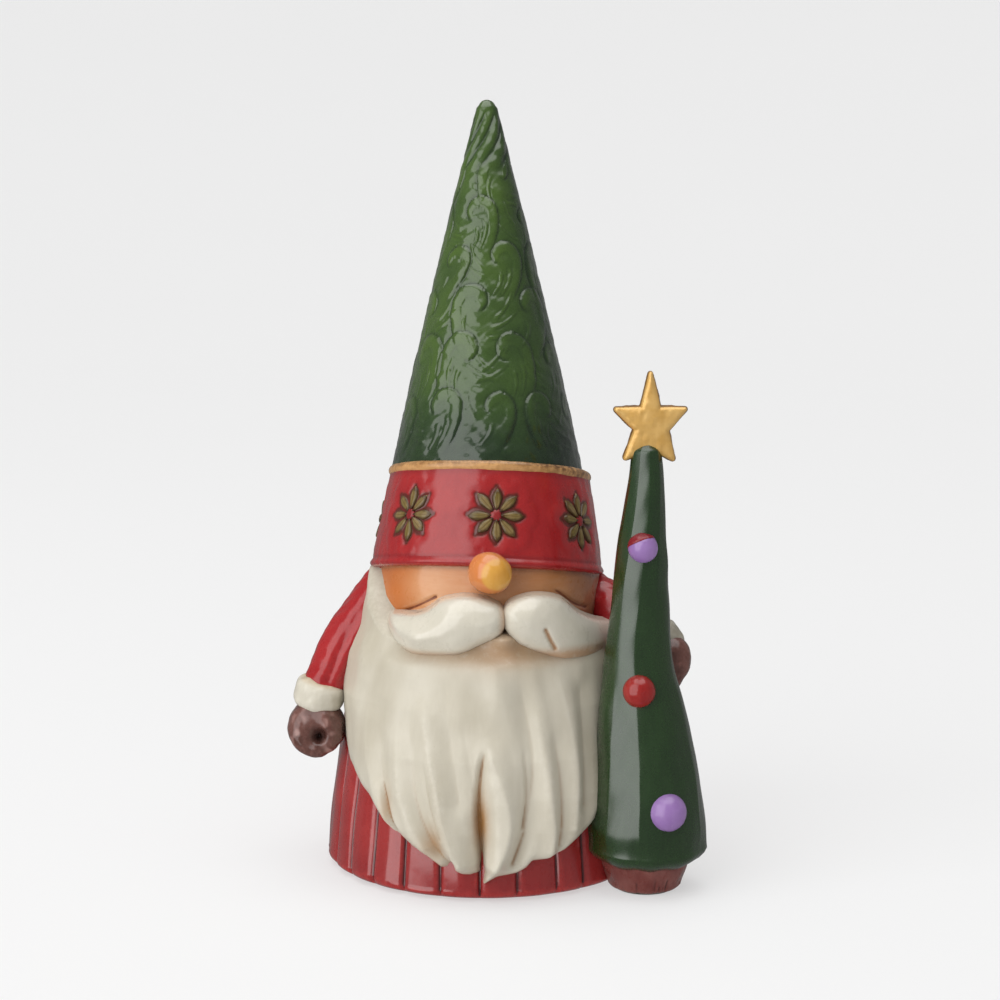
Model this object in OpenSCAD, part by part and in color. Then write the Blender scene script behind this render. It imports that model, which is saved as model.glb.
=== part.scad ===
// Tomte gnome figurine in painted cast resin, with a small tree held at its left side.
// The origin is the centre of the robe's hem on the surface that the figure stands on.
// The front faces -Y, the tree stands towards +X and the hat points up +Z. Millimetres.
// Left and right are the gnome's own, so its right arm is on the -X side.

/* [Robe] */
// Greatest radius of the robe, just above its hem
robe_r = 31.7; // [31:0.1:32.2]
// How much the radius shrinks from the hem to the shoulders
robe_taper = 10.4; // [9.8:0.1:10.8]
// Height of the shoulders above the surface
robe_h = 62; // [61:0.5:64]
// Thickness of the robe's wall
robe_wall = 4; // [3:0.5:5]
// Number of grooves round the robe
groove_count = 27; // [18:1:30]
// Depth of each groove
groove_depth = 0.7; // [0.4:0.1:1]

/* [Hat] */
// Backward lean of the hat
hat_lean = 11.5; // [10:0.5:13]
// Sideways slant of the band, lower towards the tree
band_slant = 2; // [0:0.5:3]
// Radius of the band's lower edge
band_r = 23.3; // [23:0.1:23.6]
// Radius of the band's upper edge
band_top_r = 19.9; // [19.7:0.1:20.1]
// Height of the band along the hat
band_h = 19.5; // [19:0.1:20]
// Length of the whole hat from the band's lower edge to the tip
hat_h = 94.9; // [90:0.1:96]
// Radius of the rounded tip
tip_r = 1.8; // [1.5:0.1:2]
// Number of flowers round the band
flower_count = 7; // [5:1:8]

/* [Face] */
// Radius of the head under the band
head_r = 21.2; // [21:0.1:21.5]
// Radius of the nose
nose_r = 3.9; // [3.6:0.1:4.1]

/* [Tree] */
// Distance of the tree's trunk to the side of the robe's centre
tree_x = 30.4; // [30:0.1:31]
// Distance of the tree's trunk in front of the robe's centre
tree_y = 21.6; // [21:0.1:22]
// Radius of the tree's lowest boughs
tree_r = 11.2; // [10.8:0.1:11.5]
// Radius of the tree under the star
tree_top_r = 1.9; // [1.7:0.1:2.1]
// Height of the tree's upper end
tree_h = 87.5; // [86:0.5:88]
// Length of the star's arms from its centre
star_r = 8.2; // [7.5:0.1:8.5]
// Thickness of the star
star_t = 4.8; // [4:0.1:5.2]

/* [Hidden] */

$fn = 96;
blob_fn = 28;         // facets of the spheres inside hulls
far = 120;            // half-spaces and cutters reach this far

// Foot of the robe
foot_z = 0.4;         // the felt pad lifts the hem by this much
felt_t = 1.2;
hem_round = 1.6;
robe_curve = 1.4;     // exponent of the bell's outline
robe_steps = 12;
plate_r = 27.2;
plate_top = 4;
groove_w = 0.8;
cavity_top = 36;      // the hollow inside the robe ends here

// Hat and head
hat_y = 1.5;          // the hat's axis crosses the band's lower edge here
hat_z = 58.5;
socket_r = 14;        // spigots of the head and the cone fit this bore in the band
head_drop = 15;       // the head reaches this far below the band
head_spigot = 10;
cone_spigot = 5;
cone_wall = 3.2;
cone_base_r = 19.4;
cone_bulge = 0.65;    // how far the hat's side swells beyond a straight cone
cone_steps = 14;
cord_r = 0.85;
cord_ring_r = 19.35;
lip_round = 0.7;
neck_r = 3;
neck_reach = 12;      // the neck dowel enters the head and the robe this far

// Flowers of the band
petal_count = 8;
petal_l = 5.2;
petal_w = 1.7;
petal_t = 0.45;       // how far the petals stand off the band
flower_height = 10.2; // along the band's slope
flower_turn = 3.8;

// Face
nose_at = [1.1, -22.6, 61];
beard_y = -8;         // axis of the beard's bulge
beard_x = 0.5;
beard_edge = 3;       // the beard ends this far in front of the robe's middle
cheek_t = 1.3;        // thickness of the beard beside the face

// Right arm: points along the middle of the sleeve with its radius at each
arm_right = [[-16.5, 0.5, 53.5, 5.6], [-23.2, -2.5, 49.7, 5.4], [-28.4, -5, 43.6, 4.7], [-31.6, -7.4, 37.6, 4.1]];
cuff_right_at = [-32.9, -8, 34.5];
cuff_right_turn = [6, 12, 0];

// Left arm, reaching forward to the back of the tree
arm_left = [[15.5, 0, 52.6, 5.2], [22.6, -2.8, 50.6, 5.4], [28.2, -5.6, 48.4, 4.7], [31.6, -8, 47.2, 4.2]];
cuff_left_at = [34, -9.2, 45.6];
cuff_left_turn = [10, -38, 0];

cuff_r = 4.9;
cuff_h = 6;
cuff_round = 2.3;
sleeve_sink = 0.8;    // how far a sleeve's end sinks into its cuff
wrist_pin_r = 0.8;
shoulder_pin_r = 1.2;

// Tree
tree_at = [tree_x, -tree_y, 0];
skirt_z = 9.5;        // height of the widest part of the tree
skirt_low = 5.2;
skirt_low_r = 8.4;
pot_top_r = 8.4;
pot_r = 6.9;
pot_felt_r = 5.6;
tree_dowel_r = 1.5;
star_at = [30.8, -21.4, 90.4];
star_in = 0.5;        // inner radius of the star as a share of its arms
star_rim = 1.4;
star_pin_r = 0.7;

// Balls on the tree: place and radius
ball_high = [29.3, -26.2, 66.3, 2.8];
ball_mid = [28.6, -28.6, 39.7, 3.1];
ball_low = [33.9, -30.4, 16.9, 3.7];

function robe_radius(z) = robe_r - robe_taper * pow(z / robe_h, robe_curve);
function cone_radius(t) =
  let (u = (t - band_h) / (hat_h - band_h))
  cone_base_r + (tip_r - 0.1 - cone_base_r) * u + 4 * cone_bulge * u * (1 - u);
function tree_radius(z) = tree_top_r + (tree_r - tree_top_r) * (tree_h - z) / (tree_h - skirt_z);
function band_radius(t) = band_r + (band_top_r - band_r) * t / band_h;
function xyz(p) = [p[0], p[1], p[2]];

// A straight round rod between two points
module rod(p, q, r) {
  d = q - p;
  translate(p)
    rotate([0, acos(d[2] / norm(d)), atan2(d[1], d[0])])
      cylinder(h = norm(d), r = r);
}

module ball(p, grow = 0) {
  translate(xyz(p))
    sphere(r = p[3] + grow);
}

// A soft limb through balls of given places and radii
module limb(points) {
  for (i = [0 : len(points) - 2])
    hull() {
      translate(xyz(points[i]))
        sphere(r = points[i][3], $fn = blob_fn);
      translate(xyz(points[i + 1]))
        sphere(r = points[i + 1][3], $fn = blob_fn);
    }
}

module hat_frame() {
  translate([0, hat_y, hat_z])
    rotate([-hat_lean, 0, 0])
      children();
}

module band_frame() {
  translate([0, hat_y, hat_z])
    rotate([-hat_lean, band_slant, 0])
      children();
}

// Everything above a height in the band's own frame
module above(t) {
  band_frame()
    translate([-far, -far, t])
      cube(2 * far);
}

// ---- whole outlines, from which the pieces are cut ----

module robe_form() {
  hem = [for (a = [-90 : 15 : 0])
    [robe_r - hem_round + hem_round * cos(a), foot_z + hem_round + hem_round * sin(a)]];
  side_low = foot_z + hem_round;
  side = [for (i = [1 : robe_steps])
    let (z = side_low + (robe_h + 2 - side_low) * i / robe_steps) [robe_radius(z), z]];
  difference() {
    rotate_extrude()
      polygon(concat([[0, foot_z]], hem, side, [[0, robe_h + 2]]));
    above(0);
  }
}

module head_form() {
  band_frame()
    translate([0, 0, -head_drop])
      cylinder(h = head_drop, r = head_r);
}

// The robe is open in front of the head
module face_opening() {
  band_frame()
    translate([-far, -far - 4, -head_drop])
      cube([2 * far, far, far]);
}

module robe_body() {
  difference() {
    robe_form();
    head_form();
    face_opening();
  }
}

module tree_form() {
  translate(tree_at)
    rotate_extrude()
      polygon([[0, skirt_low], [skirt_low_r, skirt_low], [tree_r - 0.6, skirt_z - 1.6],
        [tree_r, skirt_z], [tree_r - 0.3, skirt_z + 2], [tree_radius(30), 30],
        [tree_top_r, tree_h], [0, tree_h]]);
}

module beard_outline() {
  polygon([
    [-20.3, 64], [-19.6, 56], [-17.5, 51.5], [-8, 50], [3, 50], [14, 50], [19, 51], [21.4, 55], [21.8, 64],
    [24.5, 64], [25, 54], [26.5, 45], [27.5, 36], [27.2, 28], [26, 22], [23.5, 15],
    [19.5, 9.5], [17, 7.2], [14.6, 7.4], [12.5, 5.6], [9.5, 5.2], [7, 6.4], [3.2, 4.2], [0.2, 3.6],
    [-1, 6.2], [-3.5, 5], [-6, 6.6], [-9, 5.8], [-11, 8], [-14.5, 9.4],
    [-17.5, 12.2], [-22.2, 18.5], [-25.6, 25], [-26.8, 31], [-27.1, 37], [-25.8, 46.5], [-23.6, 55.5], [-22.5, 64]
  ]);
}

// The beard swells in front of the robe and thins out at the cheeks
module beard_form() {
  intersection() {
    translate([0, -beard_edge, 0])
      rotate([90, 0, 0])
        linear_extrude(height = 50)
          beard_outline();
    union() {
      translate([beard_x, beard_y, 0])
        rotate_extrude()
          polygon([[0, 2], [25.2, 2], [26.8, 6], [27.6, 12], [27.4, 20], [26.4, 28], [24.2, 36],
            [21, 44], [18.2, 50], [15.5, 56], [13.5, 64], [0, 64]]);
      rotate_extrude()
        polygon([[0, 20], [robe_radius(20), 20], [robe_radius(36) + cheek_t, 36],
          [robe_radius(50) + cheek_t, 50], [robe_radius(64) + cheek_t, 64], [0, 64]]);
    }
  }
}

module cuff_form(at, turn) {
  translate(at)
    rotate(turn)
      rotate_extrude()
        translate([0, -cuff_h / 2])
          hull() {
            square([1, cuff_h]);
            translate([cuff_r - cuff_round, cuff_round])
              circle(r = cuff_round);
            translate([cuff_r - cuff_round, cuff_h - cuff_round])
              circle(r = cuff_round);
          }
}

// Everything on the sleeve's side of a cuff
module above_cuff(at, turn) {
  translate(at)
    rotate(turn)
      translate([-far, -far, cuff_h / 2])
        cube(2 * far);
}

// Everything on the hand's side of the plane where a sleeve sinks into its cuff
module below_sleeve(at, turn) {
  translate(at)
    rotate(turn)
      translate([-far, -far, cuff_h / 2 - sleeve_sink - 2 * far])
        cube(2 * far);
}

module wrist_pin(at, turn, grow = 0) {
  translate(at)
    rotate(turn)
      translate([0, 0, -cuff_h / 2 - 4])
        cylinder(h = cuff_h + 7, r = wrist_pin_r + grow);
}

module shoulder_pin(arm) {
  rod(xyz(arm[0]), xyz(arm[1]), shoulder_pin_r);
}

module neck_hole() {
  band_frame()
    translate([0, 0, -head_drop - neck_reach])
      cylinder(h = 2 * neck_reach, r = neck_r);
}

module cord_ring() {
  band_frame()
    translate([0, 0, band_h])
      rotate_extrude()
        translate([cord_ring_r, 0])
          circle(r = cord_r, $fn = 32);
}

// The band's outer wall, moved outwards by grow
module band_wall(grow = 0) {
  band_frame()
    rotate_extrude()
      polygon([[0, 0], [band_r - lip_round + grow, 0], [band_r + grow, lip_round],
        [band_radius(lip_round + 1) + grow, lip_round + 1], [band_top_r + grow, band_h - lip_round],
        [band_top_r - lip_round + grow, band_h], [0, band_h]]);
}

module petal() {
  polygon([[0.9, 0], [petal_l * 0.62, petal_w / 2], [petal_l, 0], [petal_l * 0.62, -petal_w / 2]]);
}

// A flower outline swept out through the band's wall, at each place round the band
module at_flowers() {
  for (i = [0 : flower_count - 1])
    band_frame()
      rotate([0, 0, flower_turn + i * 360 / flower_count])
        translate([0, 0, flower_height])
          rotate([90, 0, 0])
            linear_extrude(height = band_r + 5)
              children();
}

module star_outline() {
  offset(r = 0.7, $fn = 24)
    offset(delta = -0.7)
      polygon([for (i = [0 : 9])
        let (a = 90 + 36 * i, r = i % 2 == 0 ? star_r * 1.08 : star_r * star_in) [r * cos(a), r * sin(a)]]);
}

// ---- base and robe ----

module base_felt() {
  color("darkgreen")
    cylinder(h = felt_t, r = plate_r - 0.3);
}

module base_plate() {
  color("dimgray")
    translate([0, 0, felt_t])
      cylinder(h = plate_top - felt_t, r = plate_r);
}

module robe_grooves() {
  outline = [for (i = [0 : robe_steps])
    let (z = robe_h * i / robe_steps) [robe_radius(z) - groove_depth, z]];
  for (i = [0 : groove_count - 1])
    rotate([90, 0, i * 360 / groove_count])
      linear_extrude(height = groove_w, center = true)
        polygon(concat(outline, [[robe_r + 5, robe_h], [robe_r + 5, 0]]));
}

module robe_shell() {
  color("firebrick")
    difference() {
      robe_body();
      robe_grooves();
      cylinder(h = plate_top, r = plate_r);
      rotate_extrude()
        polygon([[0, plate_top - 1], [plate_r - 1.5, plate_top - 1], [robe_radius(12) - robe_wall, 12],
          [robe_radius(24) - robe_wall, 24], [robe_radius(30) - robe_wall - 3, 30], [12, cavity_top],
          [0, cavity_top]]);
      neck_hole();
      shoulder_pin(arm_right);
      shoulder_pin(arm_left);
    }
}

module neck_dowel() {
  color("burlywood")
    intersection() {
      neck_hole();
      translate([-far, -far, cavity_top])
        cube(2 * far);
    }
}

// ---- face ----

module head_block() {
  color("peru")
    difference() {
      union() {
        head_form();
        band_frame()
          cylinder(h = head_spigot, r = socket_r);
      }
      neck_hole();
    }
}

module nose_form() {
  translate(nose_at)
    sphere(r = nose_r);
}

module nose() {
  color("goldenrod")
    difference() {
      nose_form();
      head_form();
      band_wall();
    }
}

module beard() {
  color("antiquewhite")
    difference() {
      beard_form();
      robe_body();
      head_form();
      above(0);
      tree_form();
    }
}

module moustache_cut() {
  difference() {
    children();
    beard_form();
    head_form();
    band_wall();
    nose_form();
    tree_form();
  }
}

module moustache_right() {
  color("linen")
    moustache_cut()
      limb([[-2.4, -24.6, 52.4, 5.4], [-8.6, -24.6, 51.4, 5.8], [-14, -21.6, 50.6, 4.2], [-17.4, -18.6, 53.4, 1.3]]);
}

module moustache_left() {
  color("linen")
    moustache_cut()
      limb([[9, -24.6, 52.4, 5.4], [14.6, -22.6, 50.6, 5.2], [20, -19.2, 49.6, 3.8]]);
}

// ---- hat ----

module hat_band() {
  color("crimson")
    difference() {
      band_wall();
      band_frame()
        cylinder(h = 3 * band_h, r = socket_r, center = true);
      cord_ring();
    }
}

module band_flowers() {
  color("olive")
    intersection() {
      difference() {
        band_wall(petal_t);
        band_wall();
      }
      at_flowers()
        for (i = [0 : petal_count - 1])
          rotate(i * 360 / petal_count)
            petal();
    }
}

module flower_centres() {
  color("darkred")
    difference() {
      for (i = [0 : flower_count - 1])
        band_frame()
          rotate([0, 0, flower_turn + i * 360 / flower_count])
            translate([0, 2 - band_r, flower_height])
              rotate([90, 0, 0])
                cylinder(h = band_r - band_radius(flower_height) + 1.2 + petal_t, r = 0.8, $fn = 24);
      band_wall();
    }
}

module hat_cord() {
  color("darkorange")
    cord_ring();
}

module hat_cone() {
  outer = [for (i = [0 : cone_steps])
    let (t = band_h - 3 + (hat_h - tip_r - band_h + 3) * i / cone_steps) [cone_radius(t), t]];
  tip = [for (a = [15 : 15 : 75])
    [tip_r * cos(a), hat_h - tip_r + tip_r * sin(a)]];
  color("darkgreen")
    difference() {
      union() {
        difference() {
          hat_frame()
            rotate_extrude()
              polygon(concat([[0, band_h - 3]], outer, tip, [[0, hat_h]]));
          band_frame()
            translate([-far, -far, band_h - 2 * far])
              cube(2 * far);
        }
        band_frame()
          translate([0, 0, band_h - cone_spigot])
            cylinder(h = cone_spigot, r = socket_r);
      }
      band_frame()
        translate([0, 0, band_h - cone_spigot - 1])
          cylinder(h = cone_spigot + 5, r = socket_r - 3);
      hat_frame()
        translate([0, 0, band_h + 3])
          cylinder(h = hat_h - band_h - 20, r1 = cone_base_r - cone_wall - 3, r2 = 1);
      cord_ring();
    }
}

// ---- arms ----

module shoulder_pins() {
  color("silver") {
    shoulder_pin(arm_right);
    shoulder_pin(arm_left);
  }
}

module wrist_pins() {
  color("silver") {
    wrist_pin(cuff_right_at, cuff_right_turn);
    wrist_pin(cuff_left_at, cuff_left_turn);
  }
}

module sleeve(arm, cuff_at, cuff_turn) {
  difference() {
    limb(arm);
    robe_form();
    beard_form();
    above(0);
    below_sleeve(cuff_at, cuff_turn);
    cuff_form(cuff_at, cuff_turn);
    shoulder_pin(arm);
    wrist_pin(cuff_at, cuff_turn);
  }
}

module sleeve_right() {
  color("firebrick")
    sleeve(arm_right, cuff_right_at, cuff_right_turn);
}

module sleeve_left() {
  color("firebrick")
    sleeve(arm_left, cuff_left_at, cuff_left_turn);
}

module cuff(at, turn) {
  difference() {
    cuff_form(at, turn);
    robe_form();
    beard_form();
    tree_form();
    wrist_pin(at, turn);
  }
}

module cuff_right() {
  color("ivory")
    cuff(cuff_right_at, cuff_right_turn);
}

module cuff_left() {
  color("ivory")
    cuff(cuff_left_at, cuff_left_turn);
}

// The right hand is a closed fist with a small hole where it would hold something
module mitten_right() {
  color("sienna")
    difference() {
      hull() {
        translate([-33.6, -8.6, 29.6])
          sphere(r = 4.2, $fn = blob_fn);
        translate([-34.2, -9.8, 26.6])
          sphere(r = 4.4, $fn = blob_fn);
        translate([-32.2, -9.4, 26.6])
          sphere(r = 4.4, $fn = blob_fn);
      }
      cuff_form(cuff_right_at, cuff_right_turn);
      above_cuff(cuff_right_at, cuff_right_turn);
      robe_form();
      beard_form();
      wrist_pin(cuff_right_at, cuff_right_turn);
      translate([-32.8, -11, 26.6])
        rotate([90, 0, 0])
          cylinder(h = 6, r = 0.8, $fn = 24);
    }
}

module mitten_left() {
  color("sienna")
    difference() {
      hull() {
        translate([34.6, -10.4, 42.4])
          sphere(r = 4.6, $fn = blob_fn);
        translate([35.3, -12.4, 40.6])
          sphere(r = 4.4, $fn = blob_fn);
      }
      cuff_form(cuff_left_at, cuff_left_turn);
      above_cuff(cuff_left_at, cuff_left_turn);
      robe_form();
      tree_form();
      wrist_pin(cuff_left_at, cuff_left_turn);
    }
}

// ---- tree ----

module pot_form() {
  translate(tree_at)
    rotate_extrude()
      polygon([[0, foot_z], [pot_r - 0.6, foot_z], [pot_r, foot_z + 0.6], [pot_top_r, skirt_low], [0, skirt_low]]);
}

module tree_hole() {
  translate(tree_at + [0, 0, 2])
    cylinder(h = 20, r = tree_dowel_r);
}

module star_hole() {
  translate([tree_x, -tree_y, tree_h - 8])
    cylinder(h = 12, r = star_pin_r);
}

module tree_pot() {
  color("saddlebrown")
    difference() {
      pot_form();
      robe_form();
      translate(tree_at)
        cylinder(h = felt_t, r = pot_felt_r);
      tree_hole();
    }
}

module pot_felt() {
  color("darkgreen")
    translate(tree_at)
      cylinder(h = felt_t, r = pot_felt_r);
}

module tree_dowel() {
  color("burlywood")
    tree_hole();
}

module tree_cone() {
  color("darkgreen")
    difference() {
      tree_form();
      robe_form();
      tree_hole();
      star_hole();
    }
}

module star_pin() {
  color("silver")
    star_hole();
}

module tree_star() {
  cap_h = (star_t - star_rim) / 2;
  color("gold")
    difference() {
      translate(star_at)
        rotate([90, 0, 0]) {
          linear_extrude(height = star_rim, center = true)
            star_outline();
          for (side = [0, 180])
            rotate([0, side, 0])
              translate([0, 0, star_rim / 2])
                linear_extrude(height = cap_h, scale = 0.35)
                  star_outline();
        }
      tree_form();
      star_hole();
    }
}

module cap_side() {
  translate(xyz(ball_high) + [0, 0, 1])
    rotate([-20, 0, 0])
      translate([-far, -far, 0])
        cube(2 * far);
}

module purple_balls() {
  color("mediumpurple")
    difference() {
      union() {
        ball(ball_high);
        ball(ball_low);
      }
      tree_form();
      intersection() {
        cap_side();
        ball(ball_high, 1);
      }
    }
}

module ball_cap() {
  color("crimson")
    difference() {
      intersection() {
        ball(ball_high, 0.15);
        cap_side();
      }
      tree_form();
    }
}

module red_ball() {
  color("firebrick")
    difference() {
      ball(ball_mid);
      tree_form();
    }
}

base_felt();
base_plate();
robe_shell();
neck_dowel();
head_block();
nose();
beard();
moustache_right();
moustache_left();
hat_band();
band_flowers();
flower_centres();
hat_cord();
hat_cone();
shoulder_pins();
wrist_pins();
sleeve_right();
cuff_right();
mitten_right();
sleeve_left();
cuff_left();
mitten_left();
tree_pot();
pot_felt();
tree_dowel();
tree_cone();
star_pin();
tree_star();
purple_balls();
red_ball();
ball_cap();
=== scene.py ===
# Looks of the tomte gnome figurine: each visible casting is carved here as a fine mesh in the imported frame.
# Lengths are millimetres in the row frame until a mesh is made. Left and right are the gnome's own.
import math

import bpy
import numpy as np
from mathutils import Matrix, Vector


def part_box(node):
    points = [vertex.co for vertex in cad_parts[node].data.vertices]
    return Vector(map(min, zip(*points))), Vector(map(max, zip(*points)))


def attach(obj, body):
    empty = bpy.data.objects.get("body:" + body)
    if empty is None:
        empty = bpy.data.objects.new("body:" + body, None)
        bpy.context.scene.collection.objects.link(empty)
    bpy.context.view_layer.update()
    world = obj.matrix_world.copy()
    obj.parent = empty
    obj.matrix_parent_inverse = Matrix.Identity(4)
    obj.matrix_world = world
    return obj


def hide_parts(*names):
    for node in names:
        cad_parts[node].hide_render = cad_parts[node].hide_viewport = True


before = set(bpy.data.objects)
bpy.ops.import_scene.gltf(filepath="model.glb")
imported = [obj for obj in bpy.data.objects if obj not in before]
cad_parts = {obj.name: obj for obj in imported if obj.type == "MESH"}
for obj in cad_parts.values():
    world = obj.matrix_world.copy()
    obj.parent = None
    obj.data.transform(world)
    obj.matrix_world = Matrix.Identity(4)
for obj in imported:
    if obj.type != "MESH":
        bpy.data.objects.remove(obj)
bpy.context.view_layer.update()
MM = 0.001


def mm_box(node):
    """Lowest and highest corner of a CAD node, in millimetres."""
    low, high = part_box(node)
    return np.array(low) / MM, np.array(high) / MM


# ---------------------------------------------------------------- sizes taken from the frame

ROBE_LOW, ROBE_HIGH = mm_box("robe_shell")
ROBE_R = (ROBE_HIGH[0] - ROBE_LOW[0]) / 2
FOOT = ROBE_LOW[2]
ROBE_TAPER, ROBE_H = 10.4, 62.0
HEM_ROUND = 1.6
PLATE_R, PLATE_TOP = 27.3, mm_box("base_plate")[1][2]

HAT_LEAN, BAND_SLANT = math.radians(11.5), math.radians(2)
BAND_H, BAND_R, BAND_TOP_R = 19.5, 23.3, 19.9
SOCKET_R = 14.0
CORD_CENTRE = sum(mm_box("hat_cord")) / 2
CORD_R = 1.05
HEAD_R = 21.5
CONE_R, CONE_SWELL, TIP_R = 19.35, 0.45, 1.75

TREE_AT = sum(mm_box("pot_felt")) / 2
TREE_TOP = mm_box("tree_cone")[1][2]
SKIRT_Z, SKIRT_R, SKIRT_LOW = 9.5, 11.6, 5.2
TREE_TOP_R = 2.3
STAR_LOW, STAR_HIGH = mm_box("tree_star")
STAR_REACH = 8.6
STAR_AT = (STAR_LOW + STAR_HIGH) / 2
STAR_AT[2] = STAR_HIGH[2] - STAR_REACH

TURN_X = np.array(Matrix.Rotation(-HAT_LEAN, 3, "X"))
TURN_BAND = np.array(Matrix.Rotation(BAND_SLANT, 3, "Y")) @ TURN_X
HAT_SETTLE = np.array([0, 0, 1.1])  # the hat is pulled this much further down on the brow than its CAD solids
HAT_FOOT = CORD_CENTRE - TURN_BAND @ np.array([0, 0, BAND_H]) - HAT_SETTLE
HAT_H = (mm_box("hat_cone")[1][2] - HAT_FOOT[2] - TIP_R) / math.cos(HAT_LEAN) + TIP_R


def robe_radius(z):
    """Radius of the plain robe, drawn in towards its top."""
    return ROBE_R - ROBE_TAPER * (np.clip(z, 0, None) / ROBE_H) ** 1.4


def band_radius(t):
    """Radius of the band at height t above the hat's foot."""
    return BAND_R + (BAND_TOP_R - BAND_R) * t / BAND_H


def cone_radius(t):
    """Radius of the hat's cone at height t, a little fuller than straight."""
    u = (t - BAND_H) / (HAT_H - BAND_H)
    return CONE_R + (TIP_R - 0.1 - CONE_R) * u + 4 * CONE_SWELL * u * (1 - u)


def tree_radius(z):
    """Radius of the tree: a cone with a slight waist."""
    straight = (SKIRT_R - TREE_TOP_R) * (TREE_TOP - z) / (TREE_TOP - SKIRT_Z)
    return TREE_TOP_R + straight - bell(z - 47, 12)


def in_hat(points):
    """Points given from the hat's foot, along its leaning axis, moved into the frame."""
    return points @ TURN_X.T + HAT_FOOT


def in_band(points):
    """The same for the band, which is slanted a little sideways as well."""
    return points @ TURN_BAND.T + HAT_FOOT


# ---------------------------------------------------------------- small mathematics

def smooth(a, b, x):
    """Soft step from 0 at a to 1 at b."""
    u = np.clip((x - a) / (b - a), 0, 1)
    return u * u * (3 - 2 * u)


def bell(x, width):
    return np.exp(-(x / width) ** 2)


def spot(u, v, at, size):
    """Soft oval bump of height 1 at a place, with its half sizes."""
    return bell(np.hypot((u - at[0]) / size[0], (v - at[1]) / size[1]), 1)


def swollen(share, power=2):
    """Rounded rise from 0 to 1, upright at its start."""
    return np.sqrt(np.clip(1 - (1 - share) ** power, 0, 1))


def circle(count):
    """Angles of one turn as a row, starting at the back."""
    return np.linspace(-math.pi, math.pi, count, endpoint=False)[None, :]


def turned_from(theta, angle):
    """Angle from one direction to another, the short way round."""
    return (theta - angle + math.pi) % (2 * math.pi) - math.pi


def join(a, b, k):
    """Union of two distances with a fillet of size k."""
    h = np.clip(0.5 + 0.5 * (b - a) / k, 0, 1)
    return b + (a - b) * h - k * h * (1 - h)


def cut(a, b, k):
    """Distance a with form b taken away, with a rounded edge of size k."""
    return -join(-a, b, k)


def waves(points, length, seed):
    """Soft irregularity, mostly between -1 and 1, whose bumps are about length apart."""
    rng = np.random.default_rng(seed)
    directions = rng.normal(size=(9, 3))
    directions /= np.linalg.norm(directions, axis=1)[:, None]
    pace = 2 * math.pi / length * rng.uniform(0.6, 1.5, 9)
    phase = rng.uniform(0, 2 * math.pi, 9)
    flat = points.reshape(-1, 3)
    total = np.zeros(len(flat))
    for way, k, start in zip(directions, pace, phase):
        total += np.sin(flat @ way * k + start)
    return (total / 4.5).reshape(points.shape[:-1])


def along(u, v, path):
    """Distance to a path, share of its length at the nearest place, and +1 on its left or -1 on its right."""
    path = np.array(path, float)
    steps = np.linalg.norm(np.diff(path, axis=0), axis=1)
    done = np.concatenate([[0], np.cumsum(steps)]) / steps.sum()
    best = np.full(np.shape(u), 1e9)
    share, side = np.zeros(np.shape(u)), np.ones(np.shape(u))
    for i, (a, b) in enumerate(zip(path[:-1], path[1:])):
        d = b - a
        h = np.clip(((u - a[0]) * d[0] + (v - a[1]) * d[1]) / (d @ d), 0, 1)
        gap = np.hypot(u - a[0] - h * d[0], v - a[1] - h * d[1])
        near = gap < best
        best = np.where(near, gap, best)
        share = np.where(near, done[i] + h * (done[i + 1] - done[i]), share)
        side = np.where(near, np.sign(d[0] * (v - a[1]) - d[1] * (u - a[0])), side)
    return best, share, side


def rounded(path, times=2):
    """A path with its corners cut, so that a few points make a smooth curve."""
    path = np.array(path, float)
    for _ in range(times):
        first = 0.75 * path[:-1] + 0.25 * path[1:]
        second = 0.25 * path[:-1] + 0.75 * path[1:]
        path = np.concatenate([path[:1], np.stack([first, second], 1).reshape(-1, path.shape[1]), path[-1:]])
    return path


def outline_distance(u, v, outline):
    """Signed distance to a closed outline, positive inside."""
    ring = np.array(outline, float)
    best = np.full(np.shape(u), 1e9)
    inside = np.zeros(np.shape(u), bool)
    for a, b in zip(ring, np.roll(ring, -1, 0)):
        d = b - a
        h = np.clip(((u - a[0]) * d[0] + (v - a[1]) * d[1]) / (d @ d), 0, 1)
        best = np.minimum(best, np.hypot(u - a[0] - h * d[0], v - a[1] - h * d[1]))
        spans = (a[1] > v) != (b[1] > v)
        slope = d[0] / d[1] if d[1] else 0.0
        inside ^= spans & (u < a[0] + slope * (v - a[1]))
    return np.where(inside, best, -best)


def chain(points, balls):
    """Distance to a limb that runs smoothly through balls (x, y, z, radius)."""
    path = rounded(balls) if len(balls) > 2 else np.array(balls, float)
    total = np.full(points.shape[:-1], 1e9)
    for a, b in zip(path[:-1], path[1:]):
        d = b[:3] - a[:3]
        h = np.clip((points - a[:3]) @ d / (d @ d), 0, 1)
        gap = np.linalg.norm(points - a[:3] - h[..., None] * d, axis=-1)
        total = np.minimum(total, gap - (a[3] + (b[3] - a[3]) * h))
    return total


def egg(points, centre, radii):
    """Distance to an ellipsoid, near its surface."""
    q = (points - np.array(centre)) / np.array(radii)
    size = np.linalg.norm(q, axis=-1)
    slope = np.linalg.norm(q / np.array(radii), axis=-1)
    return size * (size - 1) / np.maximum(slope, 1e-6)


# ---------------------------------------------------------------- meshes

def grid_faces(rows, cols, wrap_rows=False):
    """Quads between rings of points; with wrap_rows the last ring joins the first, as on a doughnut."""
    r = np.arange(rows if wrap_rows else rows - 1)[:, None]
    c = np.arange(cols)[None, :]
    up, on = (r + 1) % rows, (c + 1) % cols
    quads = np.stack([r * cols + c, r * cols + on, up * cols + on, up * cols + c], -1)
    return quads.reshape(-1, 4).tolist()


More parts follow.
